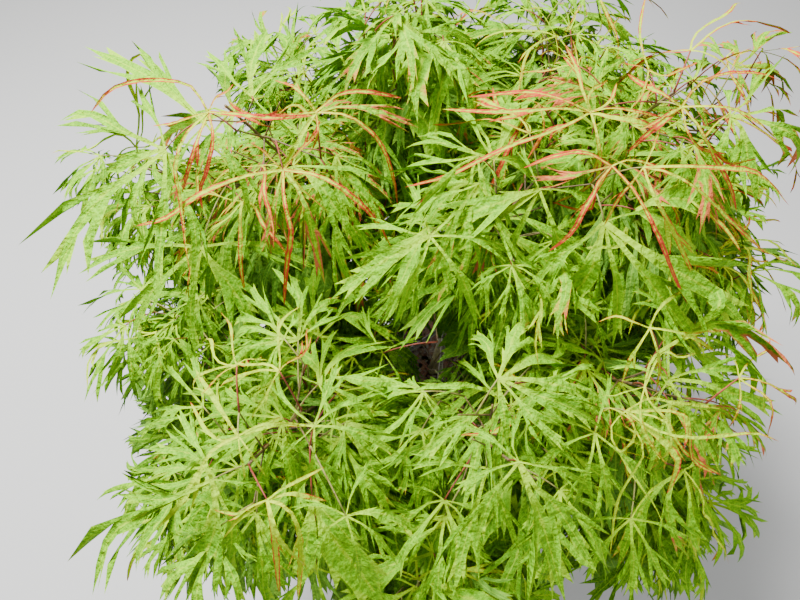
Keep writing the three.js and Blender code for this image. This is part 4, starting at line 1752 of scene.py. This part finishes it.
THREAD_LINE = stations(
    (0, 0.1, 0.2, 0.3, 0.4, 0.44, 0.48, 0.56, 0.6, 0.64, 0.74, 0.84, 0.93, 1),
    (0.01, 0.01, 0.011, 0.013, 0.017, 0.018, 0.018, 0.019, 0.019, 0.018, 0.016, 0.013, 0.009, 0),
)
LOBES = {
    Form.TRIDENT: Lobe(
        stations(
            (0, 0.2, 0.36, 0.43, 0.5, 0.57, 0.68, 0.82, 0.92, 1),
            (0.012, 0.012, 0.022, 0.036, 0.04, 0.036, 0.03, 0.022, 0.009, 0),
        ),
        (Prong(1, 2, 0.4, 0.13), Prong(-1, 3, 0.36, 0.11), Prong(1, 6, 0.16, 0.03, 1)),
    ),
    Form.ANTLER: Lobe(
        stations(
            (0, 0.18, 0.3, 0.37, 0.44, 0.51, 0.64, 0.79, 0.91, 1),
            (0.012, 0.012, 0.022, 0.035, 0.038, 0.037, 0.032, 0.022, 0.008, 0),
        ),
        (
            Prong(1, 2, 0.42, 0.16),
            Prong(-1, 3, 0.38, 0.13),
            Prong(1, 6, 0.17, 0.04, 1),
            Prong(-1, 6, 0.14, 0.03, 1),
        ),
    ),
    Form.SLIM: Lobe(
        stations(
            (0, 0.22, 0.4, 0.48, 0.56, 0.68, 0.82, 0.92, 1),
            (0.011, 0.013, 0.024, 0.033, 0.034, 0.03, 0.02, 0.008, 0),
        ),
        (Prong(-1, 2, 0.34, 0.08), Prong(1, 5, 0.16, 0.03, 1)),
    ),
    Form.RAGGED: Lobe(
        stations(
            (0, 0.16, 0.3, 0.38, 0.46, 0.54, 0.66, 0.8, 0.91, 1),
            (0.013, 0.018, 0.038, 0.05, 0.054, 0.048, 0.038, 0.026, 0.01, 0),
        ),
        (
            Prong(-1, 2, 0.32, 0.12),
            Prong(1, 3, 0.34, 0.1),
            Prong(-1, 6, 0.16, 0.045, 1),
            Prong(1, 6, 0.14, 0.035, 1),
            Prong(1, 1, 0.12, 0.03, 1),
            Prong(-1, 5, 0.11, 0.03, 1),
        ),
    ),
    Form.BROAD: Lobe(
        stations(
            (0, 0.14, 0.3, 0.42, 0.55, 0.68, 0.84, 1),
            (0.015, 0.03, 0.075, 0.105, 0.105, 0.08, 0.045, 0),
        ),
        (
            Prong(1, 2, 0.13, 0.05, 1),
            Prong(-1, 3, 0.14, 0.05, 1),
            Prong(1, 4, 0.13, 0.04, 1),
            Prong(-1, 5, 0.12, 0.035, 1),
        ),
    ),
    Form.THREAD: Lobe(THREAD_LINE, (Prong(1, 4, 0.2, 0.06),), waist=0.7),
    Form.FORKED: Lobe(THREAD_LINE, (Prong(1, 4, 0.22, 0.08), Prong(-1, 7, 0.2, 0.06)), waist=0.7),
    Form.PLAIN: Lobe(THREAD_LINE),
}


@dataclass
class Bent:
    """How one lobe lies.

    Attributes:
        line, side: Its middle line in mm, and the direction across its foot.
        width: Its width as a share of the form's.
        twist: How far it turns about its line by its tip, in radians.
        cup: How steeply its halves fold up from the midrib.
        hand: 1 for the form as modelled, -1 for its mirror image.
        tint, blush, tone: Its colouring, how far it has flushed, and how light it is from 0 to 1.
    """

    line: Vec
    side: Vec
    width: float
    twist: float
    cup: float
    hand: int
    tint: Tint
    blush: float
    tone: float


@dataclass
class LobeSet:
    """Many lobes of one form, each bent along its own line.

    Attributes:
        crinkles, tears: How fast the crinkles of its surface and the tears of its edge follow each other:
            along it, across it (crinkles only) and from lobe to lobe.
    """

    lobe: Lobe
    lobes: list[Bent] = field(default_factory=list)
    twist_curve: float = 1.4
    crinkle: float = 0.18
    crinkles: Place = (38, 25, 20)
    tear: float = 0.14
    tears: Span = (61, 50)

    def values(self, name: str) -> Vec:
        """One number of every lobe."""
        return np.array([getattr(bent, name) for bent in self.lobes], float)

    def points(self) -> Vec:
        """The points of every lobe in mm, bent along its line, as (lobes, points, 3)."""
        lines = np.array([bent.line for bent in self.lobes])
        last = lines.shape[1] - 1
        ahead = headings(lines)
        wide = carried(ahead, np.array([bent.side for bent in self.lobes]))
        high = np.cross(ahead, wide)
        roll = (self.values("twist")[:, None] * np.linspace(0, 1, last + 1) ** self.twist_curve)[..., None]
        wide, high = wide * np.cos(roll) + high * np.sin(roll), high * np.cos(roll) - wide * np.sin(roll)
        x, y = self.lobe.points[:, 0], self.lobe.points[:, 1]
        place = np.clip(x, 0, 1) * last
        k = np.minimum(place.astype(int), last - 1)
        share = (place - k)[None, :, None]
        spread = (rows[:, k] * (1 - share) + rows[:, k + 1] * share for rows in (lines, wide, high))
        middle, across, out = spread
        length = np.linalg.norm(np.diff(lines, axis=1), axis=2).sum(axis=1)
        scale = (length * self.values("width"))[:, None]
        hand, tone = self.values("hand"), self.values("tone")
        waves = x * self.crinkles[0] + y * self.crinkles[1] + tone[:, None] * self.crinkles[2]
        rags = x * self.tears[0] + np.sign(y) + tone[:, None] * self.tears[1]
        lift = scale * np.abs(y) * (self.values("cup")[:, None] + self.crinkle * np.sin(waves))
        aside = hand[:, None] * scale * y * (1 + self.tear * np.sin(rags))
        return middle + across * aside[..., None] + out * lift[..., None]

    def add_to(self, batch: Batch) -> None:
        """Adds every lobe to a batch, with its colouring in the two maps.

        Args:
            batch: The batch.
        """
        points = self.points()
        count, size = points.shape[:2]
        offset = (np.arange(count) * size)[:, None, None]
        tints = np.array([TINTS.index(bent.tint) for bent in self.lobes])
        faces, finishes = [], []
        unmirrored = (self.values("hand") > 0)[:, None, None]
        for corners in self.lobe.faces:
            wound = np.where(unmirrored, corners[None], corners[None, :, ::-1])
            faces.append((wound + offset).reshape(-1, corners.shape[1]))
            finishes.append(np.repeat(tints, len(corners)))
        places = np.stack((self.lobe.points[:, 0], self.lobe.across), axis=1)
        sprays = np.stack((self.values("blush"), self.values("tone")), axis=1)
        maps = {LOBE_MAP: np.tile(places, (count, 1)), SPRAY_MAP: np.repeat(sprays, size, axis=0)}
        batch.add(points.reshape(-1, 3) * MM, faces, finishes, **maps)


@dataclass(frozen=True)
class Manner:
    """How freely the lobes of a leaf lie.

    Attributes:
        arch: The span of how far a lobe arches over, in degrees.
        sway, twist: How much lobes differ in how far they curve aside and twist, in radians.
        wave: The span of how far a lobe waves from side to side, in radians.
    """

    arch: Span
    sway: float
    wave: Span
    twist: float


FIRM = Manner(arch=(18, 48), sway=0.45, wave=(0.05, 0.34), twist=0.8)
LIMP = Manner(arch=(16, 44), sway=0.6, wave=(0.1, 0.55), twist=1.0)


@dataclass
class Foliage:
    """All the leaves of the crown, joined into pieces of one kind each. Lengths in mm."""

    crown: Crown
    most_triangles: int = 185000
    steps: int = 14
    thread_length: float = 100
    swerve: float = 0.13
    still: float = 0.2
    waves: float = 1.2
    lengths: Span = (0.84, 1.12)
    widths: Span = (0.85, 1.25)
    cups: Span = (-0.45, 0.6)
    blushes: float = 0.15
    placed_twist: float = 0.35
    placed_cups: Span = (0, 0.5)
    placed_blushes: float = 0.12
    placed_tones: Span = (0.3, 1)

    def build(self) -> None:
        """Models the lobes, and builds the pieces of mature leaves and then of young ones."""
        for lobe in LOBES.values():
            lobe.model()
        materials = [finish.material() for finish in LEAF_FINISHES.values()]
        for young, title in ((False, "mature_leaves"), (True, "young_leaves")):
            for number, masses in enumerate(self.shared_out(young), 1):
                obj = self.gathered(masses, young).join(f"{title}_{number}")
                dress(obj, Slot.LEAF, materials, *(mass.limb.foliage for mass in masses))

    def shared_out(self, young: bool) -> list[list[Mass]]:
        """The masses in groups whose leaves of one kind fit in one piece.

        Args:
            young: Whether their young leaves are meant.

        Returns:
            The groups, with the masses in their own order.
        """
        groups: list[list[Mass]] = [[]]
        weight = 0
        for mass in self.crown.masses:
            cost = sum(self.cost(leaf) for leaf in mass.leaves if leaf.kind.young == young)
            if groups[-1] and weight + cost > self.most_triangles:
                groups.append([])
                weight = 0
            groups[-1].append(mass)
            weight += cost
        return groups

    @staticmethod
    def cost(leaf: Leaf) -> int:
        """The most triangles that a leaf may take."""
        if leaf.spray:
            return sum(LOBES[form].triangles() for form, *_ in leaf.spray.lobes)
        return leaf.kind.lobes * max(LOBES[form].triangles() for form in leaf.forms)

    def gathered(self, masses: list[Mass], young: bool) -> Batch:
        """The leaves of one kind of some masses.

        Args:
            masses: The masses.
            young: Whether their young leaves are meant.

        Returns:
            Their lobes in one batch.
        """
        sets: dict[Form, LobeSet] = {}
        for mass in masses:
            draw = np.random.default_rng(RULE.seed + mass.index)
            for leaf in mass.leaves:
                if leaf.kind.young == young:
                    for form, bent in self.lobes_of(leaf, draw):
                        sets.setdefault(form, LobeSet(LOBES[form])).lobes.append(bent)
        batch = Batch()
        for lobes in sets.values():
            lobes.add_to(batch)
        return batch

    def lobes_of(self, leaf: Leaf, draw: Generator) -> Iterable[tuple[Form, Bent]]:
        """Every lobe of a leaf, with the form that it takes.

        Args:
            leaf: The leaf.
            draw: What its small irregularities are drawn from.

        Returns:
            A form and how the lobe lies, lobe by lobe.
        """
        if leaf.spray:
            for k, (form, _, _) in enumerate(leaf.spray.lobes):
                yield form, self.placed(leaf, k, draw)
            return
        for k in range(leaf.kind.lobes):
            yield leaf.forms[int(draw.integers(len(leaf.forms)))], self.bend(leaf, k, draw)

    def placed(self, leaf: Leaf, k: int, draw: Generator) -> Bent:
        """Lays lobe k of a placed leaf along the places that it passes.

        Args:
            leaf: The leaf.
            k: Which of its lobes.
            draw: What its small irregularities are drawn from.

        Returns:
            How the lobe lies.
        """
        form, width, passed = leaf.spray.lobes[k]
        line = leaf.spray.line(passed, self.steps + 1)
        young = form in YOUNG_FORMS
        return Bent(
            line=line,
            side=unit(np.cross(leaf.normal, line[2] - line[0])),
            width=width * (min(1, self.thread_length / runs_of(line)[-1]) if young else 1),
            twist=draw.normal(0, self.placed_twist),
            cup=draw.uniform(*self.placed_cups),
            hand=1 if draw.random() < 0.5 else -1,
            # A placed mature leaf takes the leaf colour in painted light.
            tint=Tint.YOUNG if young else Tint.FRESH,
            blush=leaf.blush + draw.normal(0, self.placed_blushes),
            tone=draw.uniform(*self.placed_tones),
        )

    def bend(self, leaf: Leaf, k: int, draw: Generator) -> Bent:
        """Bends lobe k of a leaf: it arches over, sways aside, waves and twists.

        Args:
            leaf: The leaf.
            k: Which of its lobes.
            draw: What its small irregularities are drawn from.

        Returns:
            How the lobe lies.
        """
        manner = LIMP if leaf.kind.young else FIRM
        arch = math.radians(draw.uniform(*manner.arch))
        sway = draw.normal(0, manner.sway)
        wave = draw.uniform(*manner.wave)
        middle = (np.arange(self.steps) + 0.5) / self.steps
        pitch = leaf.falls[k] + arch * (2 * middle - 1)
        yaw = leaf.lobe_angle(k) + draw.normal(0, self.swerve) + sway * (middle - self.still)
        yaw = yaw + wave * np.sin(2 * math.pi * (middle * self.waves + draw.random()))
        flat = np.cos(yaw)[:, None] * leaf.forward + np.sin(yaw)[:, None] * leaf.side
        step = unit_rows(flat * np.cos(pitch)[:, None] - UP * np.sin(pitch)[:, None])
        length = leaf.lobe_reach(k) * draw.uniform(*self.lengths)
        return Bent(
            line=leaf.base + np.vstack((np.zeros(3), np.cumsum(step * length / self.steps, axis=0))),
            side=np.cross(leaf.normal, leaf.lobe_heading(k)),
            width=draw.uniform(*self.widths),
            twist=draw.normal(0, manner.twist),
            cup=draw.uniform(*self.cups),
            hand=1 if draw.random() < 0.5 else -1,
            tint=leaf.tint,
            blush=leaf.blush + draw.normal(0, self.blushes),
            tone=draw.uniform(0, 1),
        )


@dataclass
class Twigs:
    """The shoots, side shoots and spurs of every mass, and the stalks of its leaves."""

    crown: Crown
    sides: int = 6
    points: int = 13
    swell: float = 0.22
    swell_reach: float = 3
    stalk_sides: int = 4
    stalk_points: int = 6
    stalk_radii: Span = (1.05, 0.7)
    stalk_arch: float = 0.09
    red_least: float = 0.25
    red_more: float = 0.6
    shuffle: float = 0.618

    def build(self) -> None:
        """Builds the twigs and then the stalks of both colours."""
        nodes = [limb.foliage for limb in LIMBS]
        dress(self.twigs(), Slot.BARK, [TWIG_BARK.material()], *nodes)
        for name, finish, red in (("red_stalks", RED_STALK, True), ("green_stalks", GREEN_STALK, False)):
            dress(self.stalks(name, red), Slot.BARK, [finish.material()], *nodes)

    def twigs(self) -> Object:
        """Tapered twigs, swollen a little at each node."""
        lines, radii = [], []
        for mass in self.crown.masses:
            for line, (root, tip) in mass.twigs:
                runs = runs_of(line)
                marks = np.linspace(0, runs[-1], self.points)
                apart = np.abs(marks[:, None] - runs[None]).min(axis=1)
                swell = 1 + self.swell * np.exp(-((apart / self.swell_reach) ** 2))
                lines.append(smooth_line(line, self.points))
                radii.append(np.linspace(root, tip, self.points) * swell)
        return tubes("twigs", np.array(lines), np.array(radii), self.sides)

    def stalks(self, name: str, red: bool) -> Object:
        """The stalks that have flushed red or the others, each arching from its node to its blade.

        Args:
            name: The piece's name.
            red: Whether the red ones are meant.

        Returns:
            The piece.
        """
        lines = []
        along = np.linspace(0, 1, self.stalk_points)[:, None]
        for mass in self.crown.masses:
            share = self.red_least + self.red_more * mass.limb.blush
            for number, leaf in enumerate(mass.leaves):
                if (number * self.shuffle % 1 < share) == red:
                    rise = UP * self.stalk_arch * np.linalg.norm(leaf.base - leaf.node)
                    arch = rise * 4 * along * (1 - along)
                    lines.append(leaf.node + (leaf.base - leaf.node) * along + arch)
        radii = np.tile(np.linspace(*self.stalk_radii, self.stalk_points), (len(lines), 1))
        return tubes(name, np.array(lines), radii, self.stalk_sides)


@dataclass
class Limbs:
    """The trunk and all the boughs, grown together in one skin with the bark's relief. Sizes in mm."""

    trunk_points: int = 28
    bough_points: int = 14
    foot_crowding: float = 1.5
    voxel: float = 1.4
    collar: float = 1.5
    collar_depth: float = 14
    node_swell: float = 0.7
    node_gap: float = 46
    node_reach: float = 3.5
    grooves: Span = (12, 0.7)
    warts: Span = (4, 0.35)
    smoothing: float = 0.6
    smoothed: int = 3
    section: int = 4

    def build(self) -> None:
        """Builds the limbs, joins their skins and dresses them."""
        pieces = [self.limb_piece("trunk_line", *self.trunk())]
        pieces += [self.limb_piece(limb.bough + "_line", *self.bough(limb)) for limb in LIMBS]
        limbs = joined(pieces)
        limbs.name = limbs.data.name = "trunk_and_boughs"
        settle(limbs)
        apply_modifier(limbs, "REMESH", mode="VOXEL", voxel_size=self.voxel * MM, use_smooth_shade=True)
        apply_modifier(limbs, "SMOOTH", factor=self.smoothing, iterations=self.smoothed)
        for name, (size, depth) in (("bark_grooves", self.grooves), ("bark_warts", self.warts)):
            texture = bpy.data.textures.new(name, "CLOUDS")
            texture.noise_scale = size * MM
            texture.noise_depth = 2
            apply_modifier(limbs, "DISPLACE", texture=texture, strength=depth * MM, mid_level=0.5)
        limbs.data.materials.clear()
        dress(limbs, Slot.BARK, [TRUNK_BARK.material()], "trunk", *(limb.bough for limb in LIMBS))

    def trunk(self) -> tuple[Vec, Vec]:
        """The trunk's points and radii, from its flat foot to its top."""
        foot, top = FRAME.mix_level + FRAME.seat, FRAME.trunk_top[2]
        heights = foot + (top - foot) * np.linspace(0, 1, self.trunk_points) ** self.foot_crowding
        radii = np.array([FRAME.trunk_radius(height) for height in heights])
        apart = heights % self.node_gap - self.node_gap / 2
        nodes = self.node_swell * np.exp(-((apart / self.node_reach) ** 2))
        return np.array([FRAME.trunk_at(height) for height in heights]), radii + nodes

    def bough(self, limb: Limb) -> tuple[Vec, Vec]:
        """A bough's points and radii, with a collar where it springs.

        Args:
            limb: The bough's limb.

        Returns:
            Its points and the radius at each of them, in mm.
        """
        points = FRAME.bough_line(limb).spaced(self.bough_points)
        runs = runs_of(points)
        root, tip = FRAME.bough_radii
        root *= 1 if limb.on == "trunk" else FRAME.side_bough_share
        collar = self.collar * np.exp(-runs / self.collar_depth)
        return points, root + (tip - root) * runs / runs[-1] + collar

    def limb_piece(self, name: str, points: Vec, radii: Vec) -> Object:
        """One limb drawn as a curve with a round section, and turned into a mesh.

        Args:
            name: The limb's name.
            points: Its middle line.
            radii: Its radius at each point.

        Returns:
            The mesh object.
        """
        deselect_all()
        bpy.ops.curve.primitive_nurbs_path_add(location=(0, 0, 0))
        obj = bpy.context.object
        obj.name = name
        curve = obj.data
        curve.splines.clear()
        spline = curve.splines.new("POLY")
        spline.points.add(len(points) - 1)
        for spot, point, radius in zip(spline.points, points * MM, radii * MM):
            spot.co = (*point, 1)
            spot.radius = radius
        curve.bevel_depth = 1
        curve.bevel_resolution = self.section
        curve.use_fill_caps = True
        take_up(obj)
        bpy.ops.object.convert(target="MESH")
        return bpy.context.object


@dataclass
class Pot:
    """A plain moulded nursery pot: wall, banded lip, step, foot ring and drain holes. Sizes in m."""

    sides: int = 96
    foot: float = 0.114
    mouth: float = 0.139
    height: float = 0.268
    wall: float = 0.003
    floor: float = 0.005
    band: float = 0.024
    lip: float = 0.007
    flare: float = 0.001
    edge: float = 0.0007
    foot_ring: float = 0.012
    step_height: float = 0.205
    step: float = 0.0012
    step_run: float = 0.002
    long_run: float = 0.004
    rim_drops: Span = (0.006, 0.002)
    inner_levels: Span = (0.13, 0.03)
    drains: int = 6
    drain_radius: float = 0.008
    drain_height: float = 0.017

    def build(self) -> None:
        """Models the pot, cuts its holes and dresses it."""
        rings = [(0.0, self.foot - self.wall), (self.wall, self.foot), *self.profile()]
        pot = start_disc("nursery_pot", self.sides, rings[0][1], 0)
        for (height, radius), (to_height, to_radius) in zip(rings, rings[1:]):
            extrude((0, 0, to_height - height))
            share = to_radius / radius
            bpy.ops.transform.resize(value=(share, share, 1), center_override=(0, 0, 0))
        close_edit()
        self.cut_drains(pot)
        apply_modifier(pot, "BEVEL", width=self.edge, segments=2, limit_method="ANGLE", angle_limit=0.5)
        take_up(pot)
        bpy.ops.object.shade_smooth_by_angle(angle=math.radians(35))
        settle(pot)
        pot.data.materials.clear()
        dress(pot, Slot.POT, [POT_PLASTIC.material()], "pot")

    def wall_radius(self, height: float) -> float:
        """The outer radius of the wall at a height."""
        return self.foot + (self.mouth - self.foot) * height / (self.height - self.band)

    def profile(self) -> list[Span]:
        """The rings of the wall as (height, radius), up outside and down inside."""
        shoulder = self.height - self.band
        rim = self.mouth + self.lip
        inner = rim - self.wall - self.flare
        levels = (shoulder, *self.inner_levels, self.floor)
        return [
            (self.foot_ring, self.wall_radius(self.foot_ring) + self.step),
            (self.foot_ring + self.long_run, self.wall_radius(self.foot_ring + self.long_run)),
            (self.step_height, self.wall_radius(self.step_height)),
            (self.step_height + self.step_run, self.wall_radius(self.step_height) + self.step * 1.5),
            (shoulder - self.long_run, self.mouth + self.step),
            (shoulder, self.mouth + self.wall),
            (shoulder + self.wall, rim),
            *((self.height - drop, rim + self.flare) for drop in self.rim_drops),
            (self.height, rim - self.flare),
            (self.height, rim - self.wall),
            (self.height - self.wall, inner),
            (shoulder + 2 * self.wall, inner),
            *((level, self.wall_radius(level) - self.wall) for level in levels),
        ]

    def cut_drains(self, pot: Object) -> None:
        """Cuts a ring of drain holes through the foot of the wall.

        Args:
            pot: The pot.
        """
        cutters = []
        for k in range(self.drains):
            turn = math.radians((k + 0.5) * 360 / self.drains)
            deselect_all()
            bpy.ops.mesh.primitive_cylinder_add(
                vertices=24,
                radius=self.drain_radius,
                depth=6 * self.wall,
                location=(self.foot * math.cos(turn), self.foot * math.sin(turn), self.drain_height),
                rotation=(0, math.pi / 2, turn),
            )
            cutters.append(bpy.context.object)
        cutter = joined(cutters)
        apply_modifier(pot, "BOOLEAN", object=cutter, operation="DIFFERENCE", solver="EXACT")
        discard(cutter)


@dataclass
class PottingMix:
    """The mound of dark mix in the pot, and the loose bark chips that cover it. Sizes in m."""

    sides: int = 72
    rings: int = 9
    level: float = 0.24
    edge_drop: float = 0.006
    edge_radius: float = 0.1345
    foot_radius: float = 0.1112
    bottom: float = 0.0053
    clod: float = 0.011
    relief: float = 0.005
    chips: int = 1150
    chip_forms: int = 4
    chip_shape: Place = (1, 0.5, 0.22)
    chip_break: float = 0.09
    chip_taper: float = 0.5
    chip_length: Span = (0.007, 0.026)
    chip_small: float = 1.8
    chip_margin: float = 0.004
    chip_lift: Span = (-0.001, 0.005)
    chip_tilt: float = 0.28
    seed: int = 41

    def build(self) -> None:
        """Builds the mound and then its chips."""
        dress(self.mound(), Slot.MIX, [SOIL.material()], "potting_mix")
        dress(self.chip_cover(), Slot.MIX, [finish.material() for finish in CHIPS])

    def surface(self, radius: float) -> float:
        """The height of the mound at a distance from its middle."""
        return self.level - self.edge_drop * min(radius / self.edge_radius, 1) ** 2

    def mound(self) -> Object:
        """A plug of mix with an uneven, gently domed top."""
        mound = start_disc("mix_mound", self.sides, self.foot_radius, self.bottom)
        extrude((0, 0, self.level - self.edge_drop - self.bottom))
        share = self.edge_radius / self.foot_radius
        bpy.ops.transform.resize(value=(share, share, 1))
        step = self.edge_radius / (self.rings + 1)
        for k in range(self.rings):
            before, after = self.edge_radius - step * k, self.edge_radius - step * (k + 1)
            bpy.ops.mesh.inset(thickness=step, depth=self.surface(after) - self.surface(before))
        close_edit()
        top = mound.vertex_groups.new(name="top")
        inside = self.edge_radius - step / 2
        flat = self.level / 2
        spots = [spot for spot in mound.data.vertices if spot.co.z > flat and spot.co.xy.length < inside]
        top.add([spot.index for spot in spots], 1, "REPLACE")
        apply_modifier(mound, "SUBSURF", levels=2, render_levels=2, subdivision_type="SIMPLE")
        clods = bpy.data.textures.new("clods", "CLOUDS")
        clods.noise_scale = self.clod
        apply_modifier(
            mound, "DISPLACE", texture=clods, strength=self.relief, mid_level=0.5, vertex_group="top"
        )
        take_up(mound)
        bpy.ops.object.shade_smooth()
        return mound

    def chip_form(self, seed: int) -> tuple[Vec, Vec]:
        """Models one rough chip of unit length.

        Args:
            seed: Sets how it is broken.

        Returns:
            Its points and its four-cornered faces.
        """
        deselect_all()
        bpy.ops.mesh.primitive_cube_add(size=1)
        chip = bpy.context.object
        bpy.ops.transform.resize(value=self.chip_shape)
        settle(chip)
        edit_all()
        bpy.ops.mesh.subdivide(number_cuts=1)
        bpy.ops.transform.vertex_random(offset=self.chip_break, seed=seed)
        bpy.ops.object.mode_set(mode="OBJECT")
        points = np.array([point.co for point in chip.data.vertices])
        points[:, 1] *= 1 - self.chip_taper * np.abs(points[:, 0])
        faces = np.array([list(face.vertices) for face in chip.data.polygons])
        discard(chip)
        return points, faces

    def chip_cover(self) -> Object:
        """Strews chips over the mound, each turned its own way and sunk a little."""
        draw = np.random.default_rng(self.seed)
        forms = [self.chip_form(number + 1) for number in range(self.chip_forms)]
        batch = Batch()
        for number in range(self.chips):
            shape, faces = forms[number % len(forms)]
            length = between(self.chip_length, draw.random() ** self.chip_small)
            reach = (self.edge_radius - self.chip_margin) * math.sqrt(draw.random())
            turn, spin = draw.uniform(0, 2 * math.pi), draw.uniform(0, 2 * math.pi)
            tip, lean = draw.normal(0, self.chip_tilt), draw.normal(0, self.chip_tilt)
            height = self.surface(reach) + draw.uniform(*self.chip_lift)
            points = shape * length @ np.array(Euler((lean, tip, spin)).to_matrix()).T
            centre = (reach * math.cos(turn), reach * math.sin(turn), height)
            batch.add(points + centre, [faces], [np.full(len(faces), int(draw.integers(len(CHIPS))))])
        return batch.join("bark_chips", smooth=False)


@dataclass(frozen=True)
class Light:
    """A square soft light, with its places and side in m and its power in watts."""

    name: str
    place: Place
    aim: Place
    size: float
    power: float

    def build(self) -> None:
        """Hangs the light and points it."""
        deselect_all()
        bpy.ops.object.light_add(type="AREA", location=self.place)
        light = bpy.context.object
        light.name = self.name
        light.data.size = self.size
        light.data.energy = self.power
        light.rotation_euler = (Vector(self.aim) - Vector(self.place)).to_track_quat("-Z", "Y").to_euler()


LIGHTS = (
    Light("key", (-1.1, 0.5, 3.1), (0.0, -0.15, 0.7), 1.1, 285),
    Light("fill", (1.6, -1.8, 2.2), (0.0, -0.1, 0.6), 2.4, 30),
)


@dataclass
class Studio:
    """The pale floor, the soft lights and the camera. Its lens and sensor are in mm, its floor in m."""

    lens: float = 27.2
    sensor: float = 36
    nearest: float = 0.01
    floor_size: float = 14
    floor_colour: Colour = (0.56, 0.56, 0.55)
    floor_roughness: float = 0.85
    sky_colour: Colour = (0.97, 0.98, 1.0)
    sky_strength: float = 0.46

    def build(self) -> None:
        """Sets up everything round the plant."""
        self.build_camera()
        self.build_floor()
        for light in LIGHTS:
            light.build()
        world = bpy.context.scene.world or bpy.data.worlds.new("studio")
        bpy.context.scene.world = world
        world.use_nodes = True
        sky = world.node_tree.nodes["Background"]
        sky.inputs["Color"].default_value = (*self.sky_colour, 1)
        sky.inputs["Strength"].default_value = self.sky_strength

    def build_camera(self) -> None:
        """The camera, at the photograph's viewing angle."""
        bpy.ops.object.camera_add(
            location=[length * MM for length in SIGHT.eye], rotation=(math.radians(90 - SIGHT.dip), 0, 0)
        )
        camera = bpy.context.object
        camera.data.lens = self.lens
        camera.data.sensor_width = self.sensor
        camera.data.clip_start = self.nearest
        bpy.context.scene.camera = camera

    def build_floor(self) -> None:
        """A plain pale floor."""
        deselect_all()
        bpy.ops.mesh.primitive_plane_add(size=self.floor_size, location=(0, 0, 0))
        floor = bpy.context.object
        floor.name = "studio_floor"
        maker = NodeMaker("studio_floor")
        maker.wire(Base_Color=self.floor_colour, Roughness=self.floor_roughness)
        floor.data.materials.append(maker.material)
        floor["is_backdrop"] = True


def write_sizes() -> None:
    """Reckons the part's box and the dressed plant's box, in metres."""
    corners = {"cad": CAD_BOX, "visual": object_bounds()}
    {name: [list(corner) for corner in box] for name, box in corners.items()}


def main() -> None:
    """Builds the plant piece by piece and then the studio round it."""
    logging.basicConfig(level=logging.INFO, format="%(message)s")
    Pot().build()
    PottingMix().build()
    Limbs().build()
    crown = Crown()
    crown.grow()
    Twigs(crown).build()
    Foliage(crown).build()
    Studio().build()
    deselect_all()
    write_sizes()


if __name__ == "__main__":
    main()
